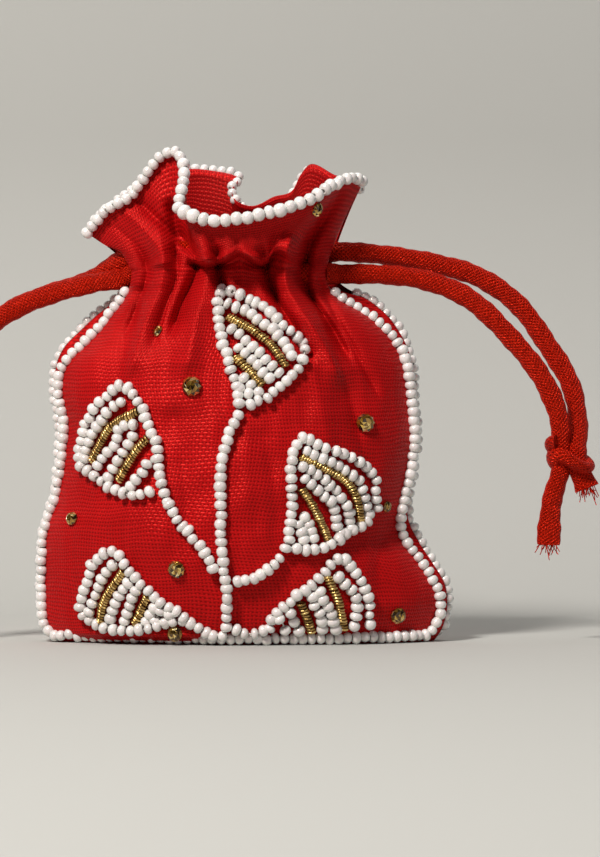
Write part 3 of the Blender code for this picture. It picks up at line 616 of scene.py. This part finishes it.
def satin_cord():
    """Braided satin cord: steep fine stitches of bright rayon in two crossing directions."""
    material, tree = new_material("satin_rayon_braid")
    uv, u, v = uv_in_mm(tree)
    one = math(tree, "SINE", math(tree, "MULTIPLY", math(tree, "MULTIPLY_ADD", u, 0.9, v), 8.4))
    two = math(tree, "SINE", math(tree, "MULTIPLY", math(tree, "MULTIPLY_ADD", u, -0.9, v), 8.4))
    stitch = math(tree, "MAXIMUM", one, two)
    long = add(tree, "ShaderNodeMapping", {0: uv, 3: (3.2, 0.6, 1.0)}).outputs[0]
    fibres = add(tree, "ShaderNodeTexNoise", {"Vector": long, "Scale": 1.0, "Detail": 3.0,
                                              "Roughness": 0.7}).outputs[0]
    bright = add(tree, "ShaderNodeTexNoise", {"Vector": uv, "Scale": 1.7, "Detail": 2.0}).outputs[0]
    share = math(tree, "MULTIPLY_ADD", stitch, 0.16, math(tree, "MULTIPLY_ADD", fibres, 1.0, -0.12))
    colour = blend(tree, share, linear("#700603"), linear("#F0280E"))
    height = math(tree, "ADD", math(tree, "MULTIPLY", stitch, 0.8), math(tree, "MULTIPLY", fibres, 2.0))
    height = math(tree, "MULTIPLY_ADD", bright, 2.6, height)
    bump = add(tree, "ShaderNodeBump", {"Strength": 1.0, "Distance": 0.00016, "Height": height})
    return finish_material(material, tree, bump.outputs[0], Base_Color=colour, Roughness=0.32, Metallic=0.45,
                           Specular_IOR_Level=0.8, Specular_Tint=linear("#FF7050"),
                           Sheen_Weight=0.1, Sheen_Roughness=0.3, Sheen_Tint=linear("#FF3018"))


def pearl_bead():
    """Lustred glass seed bead: milky body, faint interference colour and a hard gloss."""
    material, tree = new_material("pearl_lustre_glass")
    tone_and_glint = add(tree, "ShaderNodeAttribute", attribute_name="tone_and_glint").outputs["Fac"]
    colour = blend(tree, tone_and_glint, linear("#D6D1CE"), linear("#F6F3F0"))
    place = add(tree, "ShaderNodeTexCoord").outputs["Object"]
    cloud = add(tree, "ShaderNodeTexNoise", {"Vector": place, "Scale": 900.0, "Detail": 1.0}).outputs[0]
    colour = blend(tree, math(tree, "MULTIPLY", cloud, 0.35), colour, linear("#E4CFD6"))
    return finish_material(material, tree, None, Base_Color=colour, Roughness=0.28,
                           Specular_IOR_Level=0.8, Coat_Weight=1.0, Coat_Roughness=0.2,
                           Coat_IOR=1.8, Thin_Film_Thickness=430.0, Thin_Film_IOR=1.45)


def plain_thread():
    """White nylon beading thread."""
    material, tree = new_material("nylon_thread")
    return finish_material(material, tree, None, Base_Color=linear("#D6CFC8"), Roughness=0.45)


def gold_wire():
    """Fine gilt wire wound in a coil: each turn gets a random darker or brighter gold, painted glints and shade."""
    material, tree = new_material("gilt_wire")
    tone_and_glint = add(tree, "ShaderNodeAttribute", attribute_name="tone_and_glint").outputs["Fac"]
    # Painted glints and shade: dark to bright gold by each ring's random value.
    colour = blend(tree, tone_and_glint, linear("#7A5424"), linear("#F0CE86"))
    place = add(tree, "ShaderNodeTexCoord").outputs["Object"]
    dents = add(tree, "ShaderNodeTexNoise", {"Vector": place, "Scale": 2600.0, "Detail": 1.0}).outputs[0]
    bump = add(tree, "ShaderNodeBump", {"Strength": 0.9, "Distance": 0.00008, "Height": dents})
    return finish_material(material, tree, bump.outputs[0], Base_Color=colour, Metallic=1.0,
                           Roughness=0.3)


def foiled_stone():
    """Champagne glass stone on foil: each facet gets a random colour from near black to pale gold, painted reflections
    of something lighter or darker.
    """
    material, tree = new_material("foiled_glass")
    tone_and_glint = add(tree, "ShaderNodeAttribute", attribute_name="tone_and_glint").outputs["Fac"]
    # Painted reflections: the ramp runs from dark to bright gold, read by each facet's random value.
    ramp = add(tree, "ShaderNodeValToRGB", {0: tone_and_glint})
    ramp.color_ramp.elements[0].color = linear("#1E1206")
    ramp.color_ramp.elements[1].color = linear("#FFF0B8")
    for place, shade in ((0.3, "#5A3C10"), (0.5, "#B48A2C"), (0.7, "#8A5A1A"), (0.86, "#E0B850")):
        ramp.color_ramp.elements.new(place).color = linear(shade)
    return finish_material(material, tree, None, Base_Color=ramp.outputs[0], Metallic=0.8,
                           Roughness=0.08, Coat_Weight=1.0, Coat_Roughness=0.02)


def plain_stage(name, shade, roughness):
    material, tree = new_material(name)
    return finish_material(material, tree, None, Base_Color=linear(shade), Roughness=roughness)


# ================================================================ cloth
COLUMNS = 221
BODY_ROWS = 190
RUFFLE_ROWS = 66


def across_shares(count):
    """Shares across a panel, closer together near the seams."""
    even = np.linspace(-1, 1, count)
    return 0.55 * np.sin(even * np.pi / 2) + 0.45 * even


def cloth_uv(points, u, front):
    """Millimetres of cloth: the cut is 84 wide, and its length runs up the middle columns."""
    run = np.linalg.norm(np.diff(points, axis=0), axis=-1).mean(axis=1)
    up = np.concatenate([[0.0], np.cumsum(run)])
    return np.stack(np.broadcast_arrays(u[None, :] * 42.0, up[:, None]), axis=-1)


def silk_panel(name, front, material):
    """One silk panel from the lower seam to the rim, its top edge turned 2 mm to the inside.

    The front panel's edges run on to the back panel's as a seam allowance, up to the slots.
    """
    u = across_shares(COLUMNS)
    heights = np.concatenate([np.linspace(0.0, 6.0, 22)[:-1],
                              np.linspace(6.0, NECK_Z, BODY_ROWS - 21),
                              np.linspace(NECK_Z, TOP_V, RUFFLE_ROWS)[1:]])
    grid_u, grid_h = np.meshgrid(u, heights)
    points = panel_point(grid_u, grid_h, front)
    side = -1.0 if front else 1.0
    if front:
        points[..., 2] += 0.9 * low_left(points[..., 0]) * smoothstep(2.4, 0.0, points[..., 2])
        points = seam_allowance(points, heights)
        points = np.concatenate([tucked_hem(points[0]), points])
    else:
        points = np.concatenate([underside(u), points])
    last, before = points[-1], points[-8]
    down = before - last
    down /= np.linalg.norm(down, axis=-1, keepdims=True)
    inward = np.array([0.0, -side * 0.7, 0.0])
    hem = [last + inward * 0.45 - down * 0.12, last + inward + down * 0.3, last + inward + down * 2.4]
    points = np.concatenate([points, np.array(hem)])
    rows, columns = points.shape[:2]
    shares = np.linspace(-1, 1, columns) if columns != COLUMNS else u
    uv = cloth_uv(points, shares, front)
    obj = make_mesh(name, points, grid_quads(rows, columns, flip=not front), uv)
    obj.data.materials.append(material)
    return obj


def seam_allowance(points, heights):
    """Three more columns at each side, from the front's edge across to the back's."""
    back = panel_point(np.array([[-1.0, 1.0]]).repeat(len(heights), 0),
                       heights[:, None].repeat(2, 1), False)
    closed = (1.0 - smoothstep(69.5, 72.0, heights))[:, None]
    left, right = points[:, 0], points[:, -1]
    shares = (0.33, 0.66, 0.97)
    more_left = [left + (back[:, 0] - left) * closed * k for k in shares[::-1]]
    more_right = [right + (back[:, 1] - right) * closed * k for k in shares]
    return np.concatenate([np.stack(more_left, 1), points, np.stack(more_right, 1)], axis=1)


def tucked_hem(edge):
    """The front panel's lower edge, turned under by 2 mm onto the underside."""
    turned = edge.copy()
    turned[:, 1] *= 0.84
    turned[:, 2] = 0.25
    return turned[None]


def underside(u):
    """The back panel's flat underside, from the front's lower edge to its own."""
    front_edge = panel_point(u, np.zeros_like(u), True)
    back_edge = panel_point(u, np.zeros_like(u), False)
    shares = np.linspace(0.05, 0.95, 14)[:, None, None]
    floor = front_edge + (back_edge - front_edge) * shares
    floor[..., 2] = 0.12
    return floor


def lining_panel(name, front, material):
    """The lining: the same panel, moved in from the silk and plain."""
    u = across_shares(71)
    heights = np.concatenate([np.linspace(0.8, NECK_Z, 60), np.linspace(NECK_Z, TOP_V - 1.4, 26)[1:]])
    grid_u, grid_h = np.meshgrid(u * 0.985, heights)
    points = panel_point(grid_u, grid_h, front)
    side = -1.0 if front else 1.0
    points[..., 1] -= side * LINING_IN * np.clip(np.abs(points[..., 1]) / 2.0, 0.3, 1.0)
    uv = cloth_uv(points, u, front)
    obj = make_mesh(name, points, grid_quads(len(heights), 71, flip=front), uv)
    obj.data.materials.append(material)
    return obj


# ================================================================ beads
def bead_shape():
    """A seed bead round its hole (local x): r = 0.3 + 0.7 cos(s) outside, a straight hole inside."""
    around = np.linspace(0, 2 * np.pi, 14, endpoint=False)
    section = np.linspace(0, 2 * np.pi, 10, endpoint=False)
    radius = 0.30 + np.where(np.cos(section) > 0, 0.70, 0.04) * np.cos(section)
    along = np.sin(section)
    x = np.broadcast_to(along[:, None], (10, 14))
    y = radius[:, None] * np.cos(around)
    z = radius[:, None] * np.sin(around)
    points = np.stack([x, y, z], axis=-1)
    points = np.concatenate([points, points[:1]])
    quads = grid_quads(11, 14, wrap=True)
    quads = np.where(quads >= 140, quads - 140, quads)
    return points[:10].reshape(-1, 3), quads


BEAD_POINTS, BEAD_QUADS = bead_shape()


def sewn_beads(centres, along, normals, radius, half_length):
    """Beads at the centres with their holes along the thread, each a little different."""
    count = len(centres)
    along = along / np.linalg.norm(along, axis=1, keepdims=True)
    along = along + RNG.normal(0, 0.11, (count, 3))
    along /= np.linalg.norm(along, axis=1, keepdims=True)
    side = np.cross(along, normals)
    side /= np.linalg.norm(side, axis=1, keepdims=True)
    up = np.cross(side, along)
    size = radius * RNG.normal(1.0, 0.055, count)
    length = half_length * RNG.normal(1.0, 0.09, count)
    squash = RNG.normal(1.0, 0.04, count)
    centres = centres + up * RNG.normal(0, 0.1, count)[:, None] + side * RNG.normal(0, 0.12, count)[:, None]
    points = (centres[:, None]
              + (BEAD_POINTS[:, 0] * length[:, None])[..., None] * along[:, None]
              + (BEAD_POINTS[:, 1] * (size * squash)[:, None])[..., None] * side[:, None]
              + (BEAD_POINTS[:, 2] * size[:, None])[..., None] * up[:, None])
    quads = BEAD_QUADS[None] + (np.arange(count) * len(BEAD_POINTS))[:, None, None]
    tone_and_glint = np.repeat(RNG.uniform(0.25, 1.0, count), len(BEAD_POINTS))
    return points.reshape(-1, 3), quads.reshape(-1, 4), tone_and_glint


def bead_strand(name, paths, node, materials, lift=None):
    """Strands of beads and their thread: a path is (points, normals) with its pitch and radius."""
    points, quads, tris, tints, slots = [], [], [], [], []
    start = 0
    for path, normals, pitch, radius in paths:
        along = np.gradient(path, axis=0)
        beads, bead_quads, tone_and_glint = sewn_beads(path, along, normals, radius, pitch * 0.535)
        points.append(beads)
        quads.append(bead_quads + start)
        tints.append(tone_and_glint)
        slots.append(np.zeros(len(bead_quads)))
        start += len(beads)
        if len(path) > 1:
            tube, tube_quads, tube_tris = oval_tube(path, np.full(len(path), THREAD_R),
                                                    np.full(len(path), THREAD_R),
                                                    np.zeros(len(path)), 5)
            points.append(tube)
            quads.append(tube_quads + start)
            tints.append(np.full(len(tube), 0.5))
            slots.append(np.ones(len(tube_quads)))
            start += len(tube)
    obj = make_mesh(name, np.concatenate(points), np.concatenate(quads),
                    attributes={"tone_and_glint": np.concatenate(tints)})
    for material in materials:
        obj.data.materials.append(material)
    obj.data.polygons.foreach_set("material_index", np.concatenate(slots).astype(np.int32))
    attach(obj, "root")
    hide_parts(node)
    return obj


def on_front(route, pitch, lift):
    """A route (x, z) as evenly spaced points lifted off the front panel, with normals."""
    flat = even_route(route, pitch)
    surface, normal = front_frame(flat[:, 0], flat[:, 1])
    return surface + normal * lift, normal


def sewn_on_front(route, pitch=BEAD_PITCH, radius=BEAD_R):
    """One row of beads sewn flat on the front panel."""
    path, normals = on_front(route, pitch, radius * 0.86)
    return path, normals, pitch, radius


def edge_rows(front):
    """Edge beads: up the left seam, along the lower edge and up the right seam."""
    outline = FRONT_OUTLINE if front else BACK_OUTLINE
    side = -1.0 if front else 1.0
    z = np.concatenate([np.linspace(70.6, 63.0, 6), np.linspace(60.0, 4.0, 22)])
    edges = spline(outline, z)
    y = side * (slot_half(z) * 0.9 + 1.5)
    left = np.stack([edges[:, 0] - 0.2, y, z], axis=1)
    right = np.stack([edges[:, 1] + 0.2, y, z], axis=1)
    u = np.sin(np.linspace(-1, 1, 27)[1:-1] * np.pi / 2) * 0.985
    low = panel_point(u, np.full_like(u, 1.3), front)
    low[:, 1] += side * 0.9
    if front:
        low[:, 1] += 3.4 * low_left(low[:, 0])
    low[:, 2] = 1.3
    route = np.concatenate([left, low, right[::-1]])
    path = even_route(route, BEAD_PITCH * 1.04)
    normals = np.zeros_like(path)
    normals[:, 1] = side
    normals[:, 0] = np.sign(path[:, 0]) * 0.6
    normals[:, 2] = -0.4 * (path[:, 2] < 3.0)
    along = np.gradient(path, axis=0)
    along /= np.linalg.norm(along, axis=1, keepdims=True)
    normals -= along * (normals * along).sum(axis=1, keepdims=True)
    normals /= np.linalg.norm(normals, axis=1, keepdims=True)
    return path, normals, BEAD_PITCH * 1.04, BEAD_R * 0.97


def rim_rows(front):
    """Rim beads, oversewn on the outer side of the ruffle's edge."""
    side = -1.0 if front else 1.0
    u = np.linspace(-1.0, 1.0, 160)
    rim = panel_point(u, np.full_like(u, TOP_V), front)
    inner = panel_point(u, np.full_like(u, TOP_V - 2.0), front)
    up = rim - inner
    up /= np.linalg.norm(up, axis=1, keepdims=True)
    if front:
        wide = smoothstep(-14.0, -11.0, rim[:, 0]) * smoothstep(19.0, 15.0, rim[:, 0])
        lift = np.full_like(u, 0.15)
    else:
        wide = np.zeros_like(u)
        lift = 0.35 - 1.7 * smoothstep(0.03, 0.2, u)
    radius = 1.18 + 0.24 * wide
    route = rim + up * lift[:, None]
    route[:, 1] += side * radius * 0.9
    path, radius = spaced_by_size(route, radius, 1.56)
    pitch = radius * 1.56
    along = np.gradient(path, axis=0)
    along /= np.linalg.norm(along, axis=1, keepdims=True)
    normals = np.zeros_like(path)
    normals[:, 1] = side
    normals[:, 2] = 0.5
    normals -= along * (normals * along).sum(axis=1, keepdims=True)
    normals /= np.linalg.norm(normals, axis=1, keepdims=True)
    return path, normals, pitch, radius


def spaced_by_size(route, radius, ratio):
    """Places along a route whose spacing is ratio times the bead's radius there."""
    fine = even_route(np.column_stack([route, radius]), 0.1)
    count = np.concatenate([[0.0], np.cumsum(0.1 / (fine[:-1, 3] * ratio))])
    places = np.arange(0, int(count[-1]) + 1)
    picked = np.column_stack([np.interp(places, count, fine[:, k]) for k in range(4)])
    return picked[:, :3], picked[:, 3]


# ================================================================ gold coils and stones
def gold_coil(name, route, node, material):
    """A coil of wire laid along the route: rings of wire, each tilted and sized by chance."""
    centres, normals = on_front(route, COIL_PITCH, COIL_R * 0.92)
    along = np.gradient(centres, axis=0)
    along /= np.linalg.norm(along, axis=1, keepdims=True)
    side = np.cross(along, normals)
    along = along + side * 0.28 + RNG.normal(0, 0.06, centres.shape)
    along /= np.linalg.norm(along, axis=1, keepdims=True)
    side = np.cross(along, normals)
    side /= np.linalg.norm(side, axis=1, keepdims=True)
    up = np.cross(side, along)
    around = np.linspace(0, 2 * np.pi, 14, endpoint=False)
    wire = np.linspace(0, 2 * np.pi, 6, endpoint=False)
    wire_r = COIL_PITCH * 0.46
    radius = (COIL_R - wire_r) + wire_r * np.cos(wire)
    shift = wire_r * np.sin(wire)
    count = len(centres)
    size = RNG.normal(1.0, 0.05, count)[:, None, None, None]
    a = (radius[:, None] * np.cos(around))[None, ..., None]
    b = (radius[:, None] * np.sin(around))[None, ..., None]
    c = np.broadcast_to(shift[:, None], (6, 14))[None, ..., None]
    points = (centres[:, None, None] + size * (a * side[:, None, None] + b * up[:, None, None])
              + c * along[:, None, None])
    index = np.arange(84).reshape(6, 14)
    quads = np.stack([index, np.roll(index, -1, 1), np.roll(np.roll(index, -1, 0), -1, 1),
                      np.roll(index, -1, 0)], axis=-1).reshape(-1, 4)
    quads = (quads[None] + (np.arange(count) * 84)[:, None, None]).reshape(-1, 4)
    # Painted glints and shade: a random brightness for each ring of wire.
    tone_and_glint = np.repeat(RNG.uniform(0.15, 1.0, count), 84)
    obj = make_mesh(name, points.reshape(-1, 3), quads[:, ::-1], attributes={"tone_and_glint": tone_and_glint})
    obj.data.materials.append(material)
    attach(obj, "root")
    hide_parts(node)
    return obj


def stone(name, centre, normal, radius, stretch, material):
    """A flat-back stone: girdle, two rings of crown facets and a flat table, each facet flat."""
    side = np.cross(normal, [0.0, 0.0, 1.0])
    side /= np.linalg.norm(side)
    up = np.cross(side, normal)
    rings = ((1.0, 0.0, 0.0), (1.0, 0.18, 0.0), (0.76, 0.5, 0.5), (0.46, 0.68, 0.0))
    count = 10
    points = []
    for share, height, turn in rings:
        angle = (np.arange(count) + turn) * 2 * np.pi / count
        points.append(centre + radius * (share * (np.cos(angle)[:, None] * side * stretch
                                                  + np.sin(angle)[:, None] * up))
                      + normal * height * radius)
    points = np.concatenate(points)
    faces = []
    for ring in range(3):
        for k in range(count):
            a, b = ring * count + k, ring * count + (k + 1) % count
            c, d = a + count, b + count
            faces += [(a, b, c), (b, d, c)]
    top = len(points)
    points = np.concatenate([points, [centre + normal * 0.70 * radius, centre]])
    faces += [(3 * count + k, 3 * count + (k + 1) % count, top) for k in range(count)]
    faces += [((k + 1) % count, k, top + 1) for k in range(count)]
    faces = np.array(faces)
    corners = points[faces].reshape(-1, 3)
    # Painted reflections: one random value for each facet, for the ramp of foiled_glass.
    tone_and_glint = np.repeat(RNG.uniform(0.0, 1.0, len(faces)), 3)
    obj = make_mesh(name + "_cut", corners, np.zeros((0, 4)), tris=np.arange(len(corners)),
                    attributes={"tone_and_glint": tone_and_glint})
    obj.data.polygons.foreach_set("use_smooth", np.zeros(len(faces), bool))
    obj.data.materials.append(material)
    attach(obj, "root")
    if name in STONES:
        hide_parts(name)
    return obj


# ================================================================ drawstrings
def casing_run(side, z, left_x, right_x):
    """The run of a cord in one casing, drawn in behind the gathers: y = 1.6 + 2.6 sqrt(1 - s^2)."""
    x = np.linspace(left_x, right_x, 6)
    share = np.clip((x + 2.0) / 20.0, -1, 1)
    y = side * (1.6 + 2.6 * np.sqrt(1 - share ** 2))
    return [tuple(p) for p in np.stack([x, y, np.full(6, z)], axis=1)]


def cord_strand(name, route, node, material, tail):
    """A length of drawstring, a soft oval braid that turns as it runs; its tail is flatter.

    tail is the length at the far end, in mm, over which the cut end spreads and flattens.
    """
    path = even_route(route, 0.5)
    run = np.arange(len(path)) * 0.5
    length = run[-1]
    loose = smoothstep(length - tail, length - tail * 0.2, run) if tail else np.zeros_like(run)
    uneven = 1.0 + 0.04 * np.sin(run * 0.9) + 0.03 * np.sin(run * 2.3 + 1.0)
    half_wide = CORD_WIDE / 2 * uneven * (0.94 + 0.14 * loose)
    half_thick = CORD_THICK / 2 * uneven * (1.0 - 0.3 * loose)
    turn = 0.3 * np.sin(run / 17.0) + 0.22 * np.sin(run / 6.3)
    points, quads, tris = oval_tube(path, half_wide, half_thick, turn, 20)
    obj = make_mesh(name, points, quads, tube_uv(path, 20, 11.0), tris=tris)
    obj.data.materials.append(material)
    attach(obj, "root")
    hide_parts(node)
    return obj, path, length


def knot(name, centre, turn, node, material):
    """The knot: the cord wrapped slantwise round both strands, with a second turn across it."""
    t = np.linspace(0.0, 1.0, 150)
    angle = t * 2.5 * np.pi + 2.2
    across = np.cos(angle) * (2.9 + 0.5 * t)
    deep = np.sin(angle) * 2.2
    rise = (t - 0.5) * 3.0 - 0.42 * across + 0.5 * np.sin(angle * 2.0)
    path = np.stack([across * np.cos(turn) - deep * np.sin(turn),
                     across * np.sin(turn) + deep * np.cos(turn), rise], axis=1) + np.array(centre)
    swell = 1.0 + 0.14 * np.sin(t * 13 + 0.5)
    points, quads, tris = oval_tube(path, 1.95 * swell, 1.35 * swell, t * 2.2 + 1.1, 18)
    obj = make_mesh(name, points, quads, tube_uv(path, 18, 10.0), tris=tris)
    obj.data.materials.append(material)
    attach(obj, "root")
    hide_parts(node)
    return obj


def frayed_end(name, end, direction, count, material):
    """Loose fibres at a cut end: each a short curve that droops and spreads from the cord."""
    points, quads, tris = [], [], []
    start = 0
    t = np.linspace(0.0, 1.0, 7)[:, None]
    for _ in range(count):
        root = end + RNG.uniform(-1, 1, 3) * np.array([1.7, 0.9, 0.3])
        way = direction + RNG.normal(0, 0.38, 3)
        length = RNG.uniform(0.7, 2.4)
        bend = RNG.normal(0, 0.5, 3)
        path = root - direction * 0.6 + way * length * t + bend * t ** 2
        hair, hair_quads, hair_tris = oval_tube(path, np.full(7, 0.09), np.full(7, 0.09), np.zeros(7), 4)
        points.append(hair)
        quads.append(hair_quads + start)
        tris.append(hair_tris + start)
        start += len(hair)
    obj = make_mesh(name, np.concatenate(points), np.concatenate(quads),
                    np.zeros((start, 2)), tris=np.concatenate(tris))
    obj.data.materials.append(material)
    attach(obj, "root")
    return obj


# ================================================================ stage
def build_stage():
    """A pale table that curves up into a backdrop, soft studio light and the camera."""
    y = np.concatenate([np.linspace(-600, 90, 12), 90 + 120 * np.sin(np.linspace(0, 1, 24)[1:] * np.pi / 2)])
    z = np.concatenate([np.zeros(12), 120 * (1 - np.cos(np.linspace(0, 1, 24)[1:] * np.pi / 2))])
    y = np.append(y, 210.0)
    z = np.append(z, 900.0)
    x = np.array([-900.0, 900.0])
    points = np.stack(np.broadcast_arrays(x[None, :], y[:, None], z[:, None]), axis=-1)
    floor = make_mesh("paper_sweep", points, grid_quads(len(y), 2))
    floor.data.materials.append(plain_stage("matt_paper", "#B4B4B0", 0.85))

    def softbox(name, place, aim, size, power, shade="#FFFFFF"):
        light = bpy.data.lights.new(name, "AREA")
        light.shape = "RECTANGLE"
        light.size, light.size_y = size
        light.energy = power
        light.color = linear(shade)[:3]
        obj = bpy.data.objects.new(name, light)
        obj.location = place
        obj.rotation_euler = (Vector(aim) - Vector(place)).to_track_quat("-Z", "Y").to_euler()
        bpy.context.scene.collection.objects.link(obj)

    target = (0.0, 0.0, 0.045)
    softbox("key_light", (-0.36, -0.58, 0.72), target, (0.17, 0.17), 10.5, "#FFFAF4")
    softbox("fill_light", (0.60, -0.70, 0.30), target, (0.6, 0.6), 0.7, "#F4F6FF")
    softbox("top_light", (0.00, 0.06, 0.80), target, (0.4, 0.4), 1.5)
    bpy.context.scene.view_settings.view_transform = "Standard"
    world = bpy.data.worlds.new("studio")
    world.use_nodes = True
    world.node_tree.nodes["Background"].inputs[0].default_value = linear("#C8C8C6")
    world.node_tree.nodes["Background"].inputs[1].default_value = 0.10
    bpy.context.scene.world = world

    camera = bpy.data.cameras.new("camera")
    camera.sensor_fit = "HORIZONTAL"
    camera.sensor_width = 36.0
    distance = 0.700
    view_width = 0.1200
    camera.lens = 36.0 * distance / view_width
    obj = bpy.data.objects.new("camera", camera)
    obj.location = (0.0113, -distance - 0.009, 0.0431)
    obj.rotation_euler = (np.pi / 2, 0.0, 0.0)
    bpy.context.scene.collection.objects.link(obj)
    bpy.context.scene.camera = obj


# ================================================================ the bag
def main():
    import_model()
    build_stage()

    # The third colour of each silk is painted shade for the hollows between its threads.
    silk = woven_silk("dupion_silk", "#D8161A", "#9A0A0C", "#5E0406", 0.42, 0.08)
    lining = woven_silk("lining_silk", "#C01216", "#860A0C", "#5E0406", 0.5, 0.05)
    cord = satin_cord()
    beads = [pearl_bead(), plain_thread()]
    gilt = gold_wire()
    glass = foiled_stone()

    right_run = ([RIGHT_LOWER[0]] + casing_run(-1, 74.4, 12.0, -13.0)
                 + [(-16.4, 0.0, 76.7)] + casing_run(1, 79.0, -13.0, 12.0) + [RIGHT_UPPER[0]])
    left_run = ([LEFT_LOWER[0]] + casing_run(-1, 78.9, -16.0, 9.0)
                + [(12.6, 0.0, 76.7)] + casing_run(1, 74.5, 9.0, -16.0) + [LEFT_UPPER[0]])
    drawstrings = (
        ("right", right_run, RIGHT_LOWER + RIGHT_LONG_TAIL, RIGHT_UPPER + RIGHT_SHORT_TAIL,
         (65.8, -2.8, 36.9), 0.21),
        ("left", left_run, LEFT_LOWER + LEFT_LONG_TAIL, LEFT_UPPER + LEFT_SHORT_TAIL,
         (-61.2, -2.25, 36.9), -0.21),
    )
    for name, hidden, long, short, centre, turn in drawstrings:
        node = "drawstring_" + name
        cord_strand("cord_in_casing_" + name, hidden, node, cord, 0.0)
        wraps = knot("cord_knot_" + name, centre, turn, "knot_" + name, cord)
        for part, route, tail in (("long", long, 10.0), ("short", short, 4.0)):
            obj, path, length = cord_strand(f"satin_cord_{name}_{part}", route, node, cord, tail)
            way = path[-1] - path[-4]
            fibres = frayed_end(f"fray_{name}_{part}", path[-1], way / np.linalg.norm(way), 34, cord)

    for front, side in ((True, "front"), (False, "back")):
        panel = silk_panel("silk_" + side, front, silk)
        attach(panel, "root")
        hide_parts(side + "_panel")
        inner = lining_panel("lining_" + side, front, lining)
        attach(inner, "root")
        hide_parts("casing_" + side)
        bead_strand("edge_beading_" + side, [edge_rows(front)], "edge_beads_" + side, beads)
        bead_strand("rim_beading_" + side, [rim_rows(front)], "rim_beads_" + side, beads)

    for leaf, strands in LEAVES.items():
        for strand, route in strands.items():
            node = leaf + "_" + strand
            if strand.startswith("gold"):
                gold_coil("coil_" + node, route, node, gilt)
            else:
                rows = [route] if strand != "tip_fill" else []
                rows += FILL.get(node, [])
                bead_strand("beads_" + node, [sewn_on_front(row) for row in rows], node, beads)
    for name, route in STEMS.items():
        rows = [sewn_on_front(route, BEAD_PITCH * (1.0 if name != "stem" else 1.06))]
        if name == "stem":
            rows.append(sewn_on_front(STEM_FOOT))
        bead_strand("beads_" + name, rows, name, beads)
    for name, (x, z, radius, stretch) in STONES.items():
        surface, normal = front_frame(np.array([x]), np.array([z]))
        stone(name, surface[0] + normal[0] * 0.15, normal[0], radius, stretch, glass)
    in_fold = panel_point(np.array([0.69]), np.array([97.0]), True)[0]
    stone("stone_in_fold", in_fold + np.array([-0.6, -1.0, 0.0]), np.array([0.5, -0.85, 0.1]), 1.7, 0.8,
          glass)


main()
